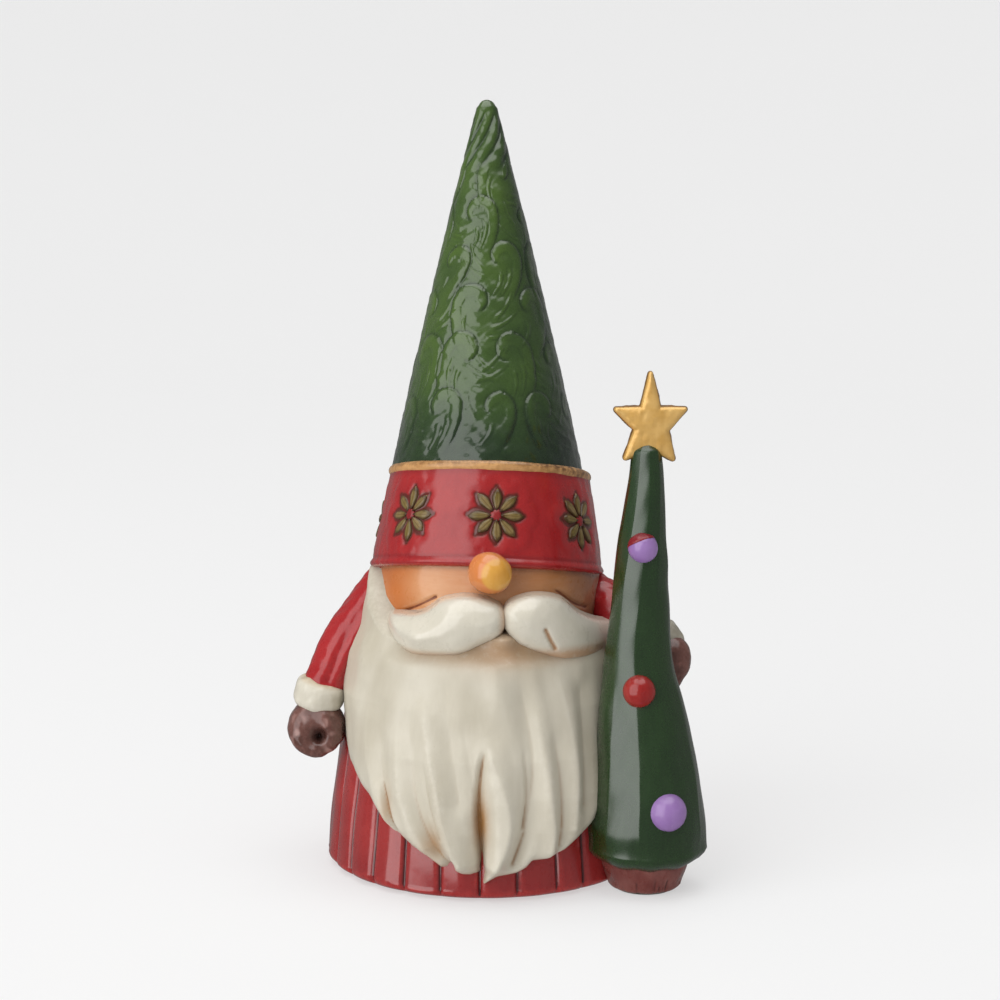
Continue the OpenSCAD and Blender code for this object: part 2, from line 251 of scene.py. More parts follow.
def turned(radius, height, theta, centre=(0, 0)):
    """Rings of points round an upright axis: theta 0 is the front and grows towards +X."""
    radius, height, theta = np.broadcast_arrays(radius, height, theta)
    return np.stack([centre[0] + radius * np.sin(theta), centre[1] - radius * np.cos(theta), height], -1)


def capped(rings, bottom, top=None):
    """Points and faces of a skin over rings, closed by a point below and, where one is given, above."""
    rows, cols = rings.shape[:2]
    points = [rings.reshape(-1, 3), np.array([bottom], float)]
    faces = grid_faces(rows, cols) + [(rows * cols, (c + 1) % cols, c) for c in range(cols)]
    if top is not None:
        last, apex = (rows - 1) * cols, rows * cols + 1
        points.append(np.array([top], float))
        faces += [(apex, last + c, last + (c + 1) % cols) for c in range(cols)]
    return np.concatenate(points), faces


def window(start, size):
    return tuple(slice(s, s + n) for s, n in zip(start, size))


def surface_net(field, low, step):
    """Points and quads where a field sampled on a regular grid changes sign. Inside is negative."""
    inside = field < 0
    size = tuple(n - 1 for n in field.shape)
    total = np.zeros(size + (3,), np.float32)
    count = np.zeros(size, np.float32)
    for axis in range(3):
        a_side, b_side = [k for k in range(3) if k != axis]
        for i in (0, 1):
            for j in (0, 1):
                start = [0, 0, 0]
                start[a_side], start[b_side] = i, j
                end = list(start)
                end[axis] = 1
                a, b = field[window(start, size)], field[window(end, size)]
                cross = (a < 0) != (b < 0)
                share = np.where(cross, a / np.where(cross, a - b, 1), 0)
                count += cross
                total[..., axis] += share
                total[..., a_side] += cross * i
                total[..., b_side] += cross * j
    cells = count > 0
    number = np.full(size, -1)
    number[cells] = np.arange(cells.sum())
    points = (np.argwhere(cells) + total[cells] / count[cells][:, None]) * step + np.array(low)
    faces = []
    for axis in range(3):
        u, v = (axis + 1) % 3, (axis + 2) % 3
        step_on = tuple(slice(1, None) if k == axis else slice(None) for k in range(3))
        here = tuple(slice(None, -1) if k == axis else slice(None) for k in range(3))
        change = inside[here] != inside[step_on]
        edges = np.argwhere(change)
        keep = (edges[:, u] > 0) & (edges[:, v] > 0) & (edges[:, u] < size[u]) & (edges[:, v] < size[v])
        edges = edges[keep]
        back_u, back_v = np.eye(3, dtype=int)[u], np.eye(3, dtype=int)[v]
        corners = [edges - back_u - back_v, edges - back_v, edges, edges - back_u]
        quads = np.stack([number[tuple(c.T)] for c in corners], 1)
        outward = inside[tuple(edges.T)]
        quads[~outward] = quads[~outward][:, ::-1]
        faces += quads.tolist()
    return points, faces


def carve(form, low, high, step):
    """Mesh of a form given as a function from points to distance, inside a box."""
    axes = [np.arange(a, b + step, step) for a, b in zip(low, high)]
    points = np.stack(np.meshgrid(*axes, indexing="ij"), -1)
    net, faces = surface_net(form(points), low, step)
    return relax(net, faces, 2), faces


def edge_pairs(faces):
    pairs = []
    for count in (3, 4):
        ring = np.array([f for f in faces if len(f) == count])
        if len(ring):
            pairs.append(np.stack([ring, np.roll(ring, -1, 1)], -1).reshape(-1, 2))
    return np.concatenate(pairs)


def neighbour_mean(values, pairs):
    count = np.bincount(pairs[:, 0], minlength=len(values)).astype(float)
    columns = [np.bincount(pairs[:, 0], values[pairs[:, 1], k], len(values)) for k in range(values.shape[1])]
    return np.stack(columns, 1) / np.maximum(count, 1)[:, None]


def relax(points, faces, times):
    """Points moved halfway towards the mean of their neighbours, a number of times."""
    pairs = edge_pairs(faces)
    both = np.concatenate([pairs, pairs[:, ::-1]])
    for _ in range(times):
        points = 0.5 * points + 0.5 * neighbour_mean(points, both)
    return points


def hollowness(mesh, points, faces, spread):
    """Depth under the smoothed surroundings, in mm: positive in a groove, negative on a crest."""
    normals = np.zeros(len(points) * 3, np.float32)
    mesh.vertex_normals.foreach_get("vector", normals)
    away = relax(points, faces, spread) - points
    return np.einsum("ij,ij->i", away, normals.reshape(-1, 3))


def piece(name, form, material, nodes, marks=None, spread=14):
    """A finished casting: a mesh on the root body that stands for CAD nodes and carries paint marks."""
    points, faces = form
    mesh = bpy.data.meshes.new(name)
    mesh.from_pydata((points * MM).tolist(), [], faces)
    mesh.shade_smooth()
    values = dict(marks or {})
    values["hollow"] = hollowness(mesh, points, faces, spread)
    for key, value in values.items():
        full = np.zeros(len(points), np.float32)
        full[: np.size(value)] = np.ravel(value)
        mesh.attributes.new(key, "FLOAT", "POINT").data.foreach_set("value", full)
    mesh.materials.append(material)
    made = bpy.data.objects.new(name, mesh)
    bpy.context.scene.collection.objects.link(made)
    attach(made, "root")
    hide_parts(*nodes)


# ---------------------------------------------------------------- materials

def srgb(red, green, blue):
    """A colour given as it looks on screen, from 0 to 255."""
    shares = [c / 255 for c in (red, green, blue)]
    return [c / 12.92 if c <= 0.04045 else ((c + 0.055) / 1.055) ** 2.4 for c in shares] + [1.0]


class Paint:
    """Node graph of one hand-painted, varnished resin surface."""

    def __init__(self, name):
        self.material = bpy.data.materials.new(name)
        self.material.use_nodes = True
        self.tree = self.material.node_tree
        self.shader = self.tree.nodes["Principled BSDF"]
        place = self.tree.nodes.new("ShaderNodeTexCoord")
        scale = self.tree.nodes.new("ShaderNodeMapping")
        scale.inputs["Scale"].default_value = (1 / MM,) * 3
        self.tree.links.new(place.outputs["Object"], scale.inputs["Vector"])
        self.place = scale.outputs["Vector"]

    def node(self, kind, **settings):
        made = self.tree.nodes.new(kind)
        for key, value in settings.items():
            setattr(made, key, value)
        return made

    def feed(self, socket, value):
        if isinstance(value, bpy.types.NodeSocket):
            self.tree.links.new(value, socket)
        else:
            socket.default_value = value

    def preset(self, **values):
        """Set inputs of the shader, named with underscores for spaces."""
        for name, value in values.items():
            self.shader.inputs[name.replace("_", " ")].default_value = value

    def noise(self, size, detail=3.0, rough=0.55, stretch=(1, 1, 1)):
        """Noise whose bumps are about size mm wide, drawn out along an axis by stretch."""
        scale = self.node("ShaderNodeMapping")
        scale.inputs["Scale"].default_value = [1 / s for s in stretch]
        self.feed(scale.inputs["Vector"], self.place)
        made = self.node("ShaderNodeTexNoise")
        self.feed(made.inputs["Vector"], scale.outputs["Vector"])
        made.inputs["Scale"].default_value = 1 / size
        made.inputs["Detail"].default_value = detail
        made.inputs["Roughness"].default_value = rough
        return made.outputs["Fac"]

    def mark(self, name):
        return self.node("ShaderNodeAttribute", attribute_name=name).outputs["Fac"]

    def span(self, value, low, high, to_low=0.0, to_high=1.0):
        made = self.node("ShaderNodeMapRange", interpolation_type="SMOOTHSTEP")
        self.feed(made.inputs["Value"], value)
        for socket, number in zip(("From Min", "From Max", "To Min", "To Max"), (low, high, to_low, to_high)):
            made.inputs[socket].default_value = number
        return made.outputs["Result"]

    def calc(self, how, a, b):
        made = self.node("ShaderNodeMath", operation=how)
        self.feed(made.inputs[0], a)
        self.feed(made.inputs[1], b)
        return made.outputs[0]

    def mix(self, share, a, b):
        made = self.node("ShaderNodeMix", data_type="RGBA")
        self.feed(made.inputs["Factor"], share)
        colours = [s for s in made.inputs if s.type == "RGBA"]
        self.feed(colours[0], a)
        self.feed(colours[1], b)
        return [s for s in made.outputs if s.type == "RGBA"][0]

    def bump(self, height, strength, distance_mm, under=None):
        made = self.node("ShaderNodeBump")
        made.inputs["Strength"].default_value = strength
        made.inputs["Distance"].default_value = distance_mm * MM
        self.feed(made.inputs["Height"], height)
        if under is not None:
            self.feed(made.inputs["Normal"], under)
        return made.outputs["Normal"]


# The stain mark carries real antiquing and outlines on most pieces, and painted shade on the face, the hat
# and the mitten's hollow; the tone mark carries painted shade or painted highlights on some pieces.
def varnished(name, base, light, wash, gloss=0.28, coat=0.5, coat_rough=0.14, metal=0.0,
              wash_from=0.01, wash_full=0.10, wash_most=0.85, wear=0.5, tint=None, stain_and_shade=None,
              blotch=7.0, streak=(1, 1, 6), relief=1.0, body=0.2, coat_ior=1.5):
    """Paint with antiquing: base colour mottled towards light, wash in the hollows, wear on the crests.

    The wash starts at a depth of wash_from mm and is full at wash_full. tint is the colour for the mark
    "tone", and stain the one for the mark "stain". body is the shine of the paint under its coat.
    """
    p = Paint(name)
    base, light, wash = srgb(*base), srgb(*light), srgb(*wash)
    mottle = p.span(p.noise(blotch), 0.35, 0.68)
    brush = p.span(p.noise(0.9, 4, 0.6, streak), 0.3, 0.75)
    colour = p.mix(mottle, base, [0.6 * b + 0.4 * l for b, l in zip(base, light)])
    colour = p.mix(p.calc("MULTIPLY", brush, 0.25), colour, light)
    if tint:
        shade = p.calc("MULTIPLY", p.mark("tone"), p.span(p.noise(3.0), 0.1, 0.5, 0.75, 1.0))
        colour = p.mix(shade, colour, srgb(*tint))
    hollow = p.mark("hollow")
    crest = p.span(p.calc("MULTIPLY", hollow, -1.0), 0.01, 0.08, 0.0, wear)
    crest = p.calc("MULTIPLY", crest, p.span(p.noise(1.4, 4, 0.7), 0.35, 0.7))
    colour = p.mix(crest, colour, light)
    pooled = p.span(hollow, wash_from, wash_full, 0.0, wash_most)
    pooled = p.calc("MULTIPLY", pooled, p.span(p.noise(2.2, 4, 0.65), 0.15, 0.6, 0.55, 1.0))
    colour = p.mix(pooled, colour, wash)
    if stain_and_shade:
        shade_and_stain_share = p.calc("MULTIPLY", p.mark("stain_and_shade"), p.span(p.noise(1.1, 4, 0.7), 0.15, 0.55, 0.6, 1.0))
        colour = p.mix(shade_and_stain_share, colour, srgb(*stain_and_shade))
    specks = p.span(p.noise(0.45, 2, 0.5), 0.70, 0.78, 0.0, 0.12)
    colour = p.mix(specks, colour, wash)
    p.feed(p.shader.inputs["Base Color"], colour)
    rough = p.span(p.noise(1.8, 5, 0.65), 0.25, 0.8, gloss - 0.06, gloss + 0.12)
    rough = p.calc("ADD", rough, p.calc("MULTIPLY", pooled, 0.12))
    p.feed(p.shader.inputs["Roughness"], rough)
    p.preset(Metallic=metal, Coat_Weight=coat, Coat_Roughness=coat_rough, Coat_IOR=coat_ior,
             Specular_IOR_Level=body)
    soft = p.bump(p.noise(2.6, 2, 0.5), 0.30 * relief, 0.08)
    strokes = p.bump(p.noise(0.55, 3, 0.6, streak), 0.18 * relief, 0.02, soft)
    p.feed(p.shader.inputs["Normal"], strokes)
    p.feed(p.shader.inputs["Coat Normal"], soft)
    return p.material


def felt():
    p = Paint("felt_green")
    fuzz = p.noise(0.35, 5, 0.8)
    p.feed(p.shader.inputs["Base Color"], p.mix(fuzz, srgb(30, 46, 34), srgb(58, 80, 62)))
    p.preset(Roughness=0.95, Sheen_Weight=0.5)
    p.feed(p.shader.inputs["Normal"], p.bump(fuzz, 0.8, 0.2))
    return p.material


def bare(name, grain, dark, light, rough, bump, metal=0.0):
    """Unpainted wood, steel or resin with its own grain."""
    p = Paint(name)
    pattern = p.noise(*grain)
    p.feed(p.shader.inputs["Base Color"], p.mix(pattern, srgb(*dark), srgb(*light)))
    p.preset(Metallic=metal)
    p.feed(p.shader.inputs["Roughness"], p.span(pattern, 0.2, 0.8, *rough))
    p.feed(p.shader.inputs["Normal"], p.bump(pattern, *bump))
    return p.material


RED_WASH = (56, 14, 16)
ROBE_RED = varnished("robe_red", (146, 32, 32), (174, 54, 50), RED_WASH, tint=(104, 24, 28), wash_full=0.14,
                     coat=1.0, coat_ior=1.6)
SLEEVE_RED = varnished("sleeve_red", (150, 28, 32), (172, 48, 48), RED_WASH, gloss=0.26, coat=0.6,
                       coat_rough=0.16, wash_full=0.2)
BAND_RED = varnished("band_red", (146, 26, 30), (168, 42, 40), RED_WASH, coat=0.8, coat_rough=0.24,
                     wash_from=0.05, wash_full=0.25, tint=(112, 20, 26), stain_and_shade=(64, 30, 18), wear=0.3,
                     relief=0.8)
# Its tint is painted shade on the beard's left edge and upper right, besides random darker patches.
BEARD_CREAM = varnished("beard_cream", (192, 185, 168), (205, 199, 184), (140, 100, 60), gloss=0.42,
                        coat=0.25, coat_rough=0.20, wash_from=0.04, wash_full=0.40, wash_most=0.8,
                        tint=(150, 139, 114), stain_and_shade=(158, 112, 60), blotch=11, relief=0.6, body=0.3)
MOUSTACHE_CREAM = varnished("moustache_cream", (200, 194, 178), (214, 208, 194), (140, 100, 60), gloss=0.30,
                            coat=0.8, coat_rough=0.12, wash_from=0.04, wash_full=0.3, wash_most=0.7,
                            stain_and_shade=(176, 124, 76), blotch=9, relief=0.6, body=0.3)
# Its stain colour is the brown of painted shade on the left cheek, and of the antiquing under the band.
SKIN = varnished("skin_orange", (199, 135, 85), (213, 168, 131), (104, 40, 22), gloss=0.3,
                 tint=(190, 110, 54), stain_and_shade=(120, 74, 56), blotch=8, streak=(5, 5, 1), relief=0.6)
NOSE_GOLD = varnished("nose_gold", (200, 140, 52), (222, 172, 88), (160, 90, 30), gloss=0.2, coat=0.8,
                      tint=(202, 122, 66), wear=0.8, relief=0.6)
CORD_GOLD = varnished("cord_gold", (168, 118, 66), (204, 156, 102), (96, 56, 30), gloss=0.3, wash_full=0.2,
                      tint=(92, 62, 38), wear=0.9, blotch=8)
HAT_GREEN = varnished("hat_green", (38, 58, 30), (60, 84, 40), (18, 30, 16), gloss=0.26, coat=0.9,
                      coat_rough=0.12, wash_from=0.0, wash_full=0.30, wash_most=0.6,
                      tint=(74, 98, 38), stain_and_shade=(22, 36, 24), wear=0.2, relief=0.9)
FLOWER_OLIVE = varnished("flower_olive", (118, 104, 44), (176, 150, 110), (62, 38, 18), gloss=0.32,
                         tint=(70, 44, 20), wash_full=0.05, wear=1.0, blotch=3)
CENTRE_RED = varnished("centre_red", (124, 26, 30), (150, 50, 48), RED_WASH, gloss=0.3, wear=0.4)
CUFF_CREAM = varnished("cuff_cream", (198, 192, 176), (212, 206, 192), (150, 116, 76), gloss=0.36, coat=0.3,
                       wash_from=0.02, wash_full=0.2, tint=(122, 115, 100), stain_and_shade=(180, 158, 124), relief=0.6)
# Its tint paints highlights on the fist, and its near-black stain paints shade in the fist's hollow.
MITTEN_BROWN = varnished("mitten_brown", (80, 50, 43), (132, 92, 84), (34, 16, 12), gloss=0.26, coat=0.6,
                         wash_from=0.0, wash_full=0.25, tint=(168, 132, 124), stain_and_shade=(24, 10, 7), wear=1.0)
TREE_GREEN = varnished("tree_green", (21, 47, 14), (33, 61, 22), (16, 28, 14), gloss=0.26, coat=1.0,
                       coat_rough=0.25, coat_ior=1.7, tint=(28, 48, 18), blotch=9, relief=0.2, body=0.15)
POT_BROWN = varnished("pot_brown", (104, 48, 43), (142, 94, 86), (50, 20, 18), coat=0.6, wash_full=0.12,
                      streak=(1, 1, 4))
STAR_GOLD = varnished("star_gold", (210, 162, 84), (232, 194, 126), (120, 70, 26), gloss=0.34, coat=0.3,
                      metal=0.3, wash_from=0.10, wash_full=0.5, stain_and_shade=(120, 78, 40), wear=0.6, blotch=3,
                      relief=1.2, body=0.4)
BALL_PURPLE = varnished("ball_purple", (136, 100, 160), (160, 130, 182), (70, 40, 96), gloss=0.2, coat=0.6)
BALL_RED = varnished("ball_red", (134, 26, 26), (162, 52, 46), RED_WASH, gloss=0.18, coat=0.6)
CAP_CRIMSON = varnished("cap_crimson", (116, 22, 32), (142, 44, 50), RED_WASH, gloss=0.24)


# ---------------------------------------------------------------- robe

GROOVES, FIRST_GROOVE = 27, math.radians(-2.9)


def robe():
    """Pleated cone, cut off under the beard in front and carried up to the hat band behind."""
    cols, rows = GROOVES * 26, 104
    theta = circle(cols)
    rng = np.random.default_rng(4)
    grooves = np.arange(GROOVES) * 2 * math.pi / GROOVES + FIRST_GROOVE + rng.uniform(-0.018, 0.018, GROOVES)
    depth = rng.uniform(0.40, 0.75, GROOVES)

    # In front the top is a level shelf under the beard, and behind it follows the slanted band
    shelf, tucked, brim_r = 47.0, 0.3, 22.3
    tilted = math.tan(HAT_LEAN) * np.cos(theta) - math.tan(BAND_SLANT) * np.sin(theta)
    plane = HAT_FOOT[2] + tucked + brim_r * tilted
    behind = smooth(math.radians(72), math.radians(100), np.abs(theta))
    top = shelf + (plane - shelf) * behind
    low = FOOT + HEM_ROUND
    rise = np.linspace(0, 1, rows)[:, None]
    height = low + (top - low) * rise
    plain = robe_radius(height)

    pleat = np.abs(np.sin((theta - FIRST_GROOVE) * (GROOVES / 2)))
    groove_w = 0.55
    carved = 0.55 * pleat * np.ones_like(height) - 0.1
    for angle, deep in zip(grooves, depth):
        off = turned_from(theta, angle)
        lean = 0.010 * np.sin(angle * 5.3)
        across = (off - lean * (1 - rise)) * plain
        carved -= deep * np.clip(1 - np.abs(across) / groove_w, 0, 1)
        carved += 0.10 * bell(across - 1.1, 0.9) + 0.06 * bell(across + 1.1, 0.9)
    carved *= 1 - 0.35 * smooth(0.8, 1.0, rise)
    skin = turned(plain + carved, height, theta)
    skin[..., :2] *= (1 + 0.006 * waves(skin, 17, 11))[..., None]

    arc = np.radians(np.arange(-90, 0, 15))[:, None]
    hem_r = ROBE_R - HEM_ROUND + HEM_ROUND * np.cos(arc) + carved[0] * smooth(-1.6, -0.2, arc)
    hem = turned(hem_r, FOOT + HEM_ROUND + HEM_ROUND * np.sin(arc), theta)
    recess = np.concatenate([turned(PLATE_R, z, theta) for z in (PLATE_TOP, 2.0, FOOT)])
    rings = np.concatenate([recess, hem, skin])
    below = np.zeros((len(recess) + len(hem), cols))
    marks = {"tone": np.concatenate([below, smooth(0.45, -0.1, rise) * 0.35 * np.ones((1, cols))])}
    piece("robe", capped(rings, (0, 0, PLATE_TOP), (0, 0, shelf)), ROBE_RED, ["robe_shell"],
          marks, spread=10)


# ---------------------------------------------------------------- beard

# Upright axis that the beard's grid turns round, and its front radius at some heights
BEARD_X, BEARD_Y = 0.5, -8.0
BEARD_HEIGHTS = [2, 4, 8, 14, 20, 27, 36, 42, 47, 52, 58, 64]
BEARD_SWELL = [24.6, 26.0, 27.2, 27.6, 27.3, 26.2, 23.6, 21.6, 20.0, 17.5, 15, 13]
# Outline of the beard as (x, z), round from the top of its right side
BEARD_OUTLINE = [
    (-22.9, 68), (-22.95, 59), (-22.85, 56.5), (-22.5, 54.5), (-21.6, 52.6), (-19.8, 50.2),
    (-17.2, 48.2), (3, 50.5), (17, 49.0), (22, 48.2), (24.4, 48.6), (26.2, 46), (27.9, 38), (28, 32),
    (27.4, 26.5), (25.6, 19.6), (22.0, 13.6), (18.8, 10.8), (15.8, 8.9), (13.6, 8.2), (11.4, 7.8),
    (9.6, 7.6), (8.4, 6.4), (6.4, 5.4), (4.0, 5.1), (2.2, 4.9), (0.6, 4.1), (-0.7, 3.4), (-0.75, 6.2),
    (-1.6, 5.6), (-3.2, 5.2), (-4.9, 5.2), (-6.6, 5.9), (-7.1, 7.2), (-7.9, 6.4), (-9.3, 6.3),
    (-12.2, 8.3), (-14.8, 9.6), (-16.9, 11.2), (-18.8, 12.2), (-22.2, 15.9), (-25.4, 18.7),
    (-27.8, 22.2), (-29.2, 27.0), (-29.8, 32.4), (-29.8, 38), (-29.0, 46), (-27.4, 54), (-26.4, 60),
    (-26.0, 68),
]
# Carved strokes of the beard: path (x, z), half width from start to end, height from start to end
BEARD_STROKES = [
    ([(-4.8, 36), (-3.4, 28), (-2.0, 21), (-1.4, 14), (-1.0, 7)], (3.4, 2.4), (-0.4, -2.6)),
    ([(0.2, 31), (-1.0, 25), (-1.5, 18.5), (-1.0, 12), (-0.8, 5)], (0.9, 0.8), (-0.9, -2.6)),
    ([(-0.6, 32), (2.6, 24.6), (4.3, 19), (4.5, 14.4), (3.0, 9.2), (-0.4, 4.8)], (2.6, 1.6), (0.7, 2.1)),
    ([(0.6, 26), (2.2, 19), (2.2, 13), (0.9, 8)], (2.6, 1.6), (0.6, 1.2)),
    ([(6.0, 43), (8.2, 34), (9.2, 27), (8.6, 20), (7.7, 14), (5.4, 8)], (2.8, 1.8), (-0.7, -2.0)),
    ([(9.0, 38), (10.9, 27.4), (11.9, 19.2), (12.5, 14.2), (11.9, 9)], (2.3, 1.6), (0.5, 1.4)),
    ([(12.6, 33), (14.3, 23), (14.6, 16), (14.2, 11)], (1.7, 1.3), (-0.4, -1.2)),
    ([(13.2, 44), (15, 36.3), (16.4, 29.7), (17, 21.4), (16.4, 14)], (2.4, 1.8), (0.5, 0.9)),
    ([(17.9, 42), (18.9, 28), (18.9, 18)], (1.6, 1.6), (-0.5, -1.0)),
    ([(-11.8, 39), (-10.9, 30.8), (-9.9, 26), (-8.6, 20.7), (-7.6, 15), (-5.4, 8)], (2.5, 1.9), (0.7, 1.7)),
    ([(-14.3, 27), (-13.4, 18), (-11.0, 12.4), (-7.6, 7.5)], (1.8, 1.9), (-0.4, -2.2)),
    ([(-16.8, 33), (-16.8, 23), (-14.9, 16.5), (-11.6, 10.6)], (2.4, 1.7), (0.5, 1.1)),
    ([(-19.8, 22.5), (-18.7, 17.5), (-17.2, 12.6)], (0.55, 0.6), (-0.6, -1.9)),
    ([(-22.4, 36), (-22.9, 27), (-21.2, 20), (-18.8, 15)], (2.8, 2.0), (0.5, 0.9)),
    ([(-19.6, 38), (-20.2, 29), (-19.8, 22.5)], (2.2, 1.2), (-0.3, -0.7)),
    ([(-14.2, 42), (-14.6, 33), (-14.4, 26)], (2.6, 2.0), (-0.3, -0.6)),
    ([(-7.6, 43), (-7.4, 35), (-6.4, 28), (-5.2, 20)], (2.6, 2.2), (-0.3, -0.8)),
    ([(-11.5, 27), (-10.6, 20), (-8.6, 13)], (0.7, 0.6), (-0.25, -0.5)),
    ([(7.2, 30), (8.1, 22), (7.2, 15)], (0.6, 0.6), (-0.2, -0.5)),
    ([(1.6, 46), (2.0, 40), (1.2, 34)], (3.6, 2.0), (0.5, 0.3)),
    ([(-22.8, 54), (-23.6, 46), (-23.0, 40)], (1.6, 2.2), (0.25, 0.3)),
]
# Places where brown wash has pooled on the beard: (x, z), half sizes and strength
BEARD_STAINS = [
    ((-0.9, 16), (1.4, 5), 1.0), ((-10, 11.5), (2, 3.5), 0.6), ((-18.6, 17.5), (0.9, 3.5), 0.5),
    ((3, 47), (9, 3.5), 0.42),
]


def ray_to_circle(phi, radius):
    """Distance from the beard's axis to a circle round the robe's axis, in direction phi."""
    forward = BEARD_X * np.sin(phi) - BEARD_Y * np.cos(phi)
    return -forward + np.sqrt(forward ** 2 - BEARD_X ** 2 - BEARD_Y ** 2 + radius ** 2)


def stroke_height(x, z, path, widths, heights):
    """Height of one rounded stroke, positive for a strand and negative for a furrow."""
    gap, share, _ = along(x, z, rounded(path))
    width = widths[0] + (widths[1] - widths[0]) * share
    height = heights[0] + (heights[1] - heights[0]) * share
    fade = smooth(0, 0.16, share)
    crest = np.clip(1 - gap / (1.55 * width), 0, 1)
    return height * fade * crest * crest * (3 - 2 * crest) ** 0.6


def beard():
    """Curved slab over the robe's front, swelling up from its outline, with strokes for the strands."""
    cols, rows = 330, 290
    bottom, brim_r, face_r, sunk = 2.6, 22.8, 20.4, 1.2
    phi = np.linspace(math.radians(-116), math.radians(116), cols)[None, :]
    rise = np.linspace(0, 1, rows)[:, None]
    rim = ray_to_circle(phi, brim_r)
    roof = (HAT_FOOT[2] + 0.5 + math.tan(HAT_LEAN) * (HAT_FOOT[1] - BEARD_Y + rim * np.cos(phi))
            - math.tan(BAND_SLANT) * (BEARD_X + rim * np.sin(phi)))
    z = bottom + (roof - bottom) * rise
    chest = robe_radius(z)
    under = ray_to_circle(phi, np.where(z < 46, chest, chest + (face_r - chest) * smooth(46, 51, z)))
    swell = np.interp(z, BEARD_HEIGHTS, BEARD_SWELL)
    plump = 1.5 + 1.6 * smooth(18, 26, z) * smooth(50, 42, z) - 0.3 * smooth(50, 58, z)
    cheek = ray_to_circle(phi, np.minimum(chest + plump, 30.0))
    front = -join(-(swell - 0.012 * swell * (1 - np.cos(phi))), -cheek, 2.5)
    x = BEARD_X + front * np.sin(phi)
    relief = np.zeros_like(front)
    for path, widths, heights in BEARD_STROKES:
        relief += stroke_height(x, z, path, widths, heights)
    soft = turned(front, z, phi, (BEARD_X, BEARD_Y))
    relief += 0.22 * waves(soft * [1, 1, 0.35], 9, 3) + 0.10 * waves(soft * [1, 1, 0.3], 4, 8)
    # A bed for the moustache, and the lower lip between its halves
    relief -= 1.6 * smooth(43.5, 47.5, z) * smooth(21, 17, np.abs(x - BEARD_X))
    relief += 3.6 * spot(x, z, (3.4, 50.4), (2.8, 3.0))
    front = front + relief * smooth(60, 54, z)

    behind = 24 * (1.93 - 0.25 * smooth(53, 42, z) - np.abs(phi))
    inside = np.minimum(outline_distance(x, z + 0 * x, BEARD_OUTLINE), behind)
    edge = 1.3 + 1.5 * smooth(46, 30, z) - 0.9 * smooth(52, 57, z)
    share = np.clip(inside / edge, 0, 1)
    radius = (under - sunk) + (front - under + sunk) * swollen(share)
    skin = turned(radius, z, phi, (BEARD_X, BEARD_Y))
    stain_and_shade = sum(strength * spot(x, z, at, size) for at, size, strength in BEARD_STAINS)
    stain_and_shade = stain_and_shade + 0.32 * smooth(43, 46, z) * smooth(20, 14, np.abs(x - 1))
    stain_and_shade = stain_and_shade + 0.3 * smooth(1.4, 0.3, inside) * smooth(14, 9, z)
    # Painted shade darkens the left edge beside the tree and the upper right, and random patches darken the
    # rest.
    tone = (0.25 * smooth(13, 26, x) + 0.8 * smooth(21, 27, x) + 0.3 * smooth(-17, -22, x) * smooth(36, 46, z)
            + 0.25 * smooth(0, 1, waves(soft * [1, 1, 0.4], 12, 21)))

    faces = [(r * cols + c, r * cols + c + 1, (r + 1) * cols + c + 1, (r + 1) * cols + c)
             for r in range(rows - 1) for c in range(cols - 1)]
    for r in range(rows - 1):
        faces.append((r * cols + cols - 1, r * cols, (r + 1) * cols, (r + 1) * cols + cols - 1))
    faces.append(tuple(range(cols - 1, -1, -1)))
    faces.append(tuple(range((rows - 1) * cols, rows * cols)))
    piece("beard_carved", (skin.reshape(-1, 3), faces), BEARD_CREAM, ["beard"],
          {"stain_and_shade": np.clip(stain_and_shade, 0, 1), "tone": tone})


# ---------------------------------------------------------------- face

# Lines cut into the cheeks just above the moustache, as (x, z)
HAIR_EDGES = [
    [(-17.2, 51.8), (-14.3, 53.2), (-12.3, 54.2), (-9.6, 55.8)],
    [(12.5, 57.2), (14.4, 56.0), (16.8, 53.8), (19.5, 52.4)],
]


def head():
    """The face between band and moustache, a block under the hat."""
    theta = circle(360)
    low, high = -14, 0.6
    t = np.linspace(low, high, 90)[:, None]
    radius = HEAD_R - 0.9 * smooth(-5, -12, t) + smooth(0.5, 1.1, theta) * smooth(2.6, 1.8, theta)
    rings = turned(radius, t, theta)
    radius = radius + 0.12 * waves(rings, 6, 5) + 0.45 * bell(np.hypot((theta + 0.62) * 21, t + 3.6), 4.2)
    place = in_band(rings.reshape(-1, 3)).reshape(rings.shape)
    for edge in HAIR_EDGES:
        gap, share, _ = along(place[..., 0], place[..., 2], rounded(edge))
        radius = radius - 0.4 * bell(gap, 0.36) * smooth(0, 0.3, share) * smooth(0, -5, place[..., 1])
    rings = turned(radius, t, theta)
    local, faces = capped(rings, (0, 0, low), (0, 0, high))
    tone = smooth(-0.45, -1.0, theta) * np.ones_like(t)
    # Painted shade browns the left cheek, on the side towards the tree; the face is also browned just under
    # the band and in a stripe beside the nose.
    stain_and_shade = 0.75 * smooth(0.30, 1.2, theta) + 0.45 * smooth(-1.2, 0.2, t) + 0.35 * bell(theta - 0.30, 0.12)
    piece("head", (in_band(local), faces), SKIN, ["head_block"],
          {"tone": tone, "stain_and_shade": np.clip(stain_and_shade, 0, 1)})


NOSE_AT = np.array([1.0, -23.0, 61.0])


def nose():
    def form(q):
        ball = egg(q, NOSE_AT, (3.95, 3.7, 3.9))
        bridge = egg(q, NOSE_AT + [-0.9, 1.2, 0.2], (3.4, 3.0, 3.7))
        return join(ball, bridge, 1.2) + 0.05 * waves(q, 3, 2)
    points, faces = carve(form, NOSE_AT - 5.2, NOSE_AT + 5.2, 0.16)
    away = np.hypot(points[:, 0] - NOSE_AT[0] - 1.15, points[:, 2] - NOSE_AT[2] - 0.2)
    piece("nose_carved", (points, faces), NOSE_GOLD, ["nose"],
          {"tone": smooth(2.6, 3.3, away)}, spread=20)


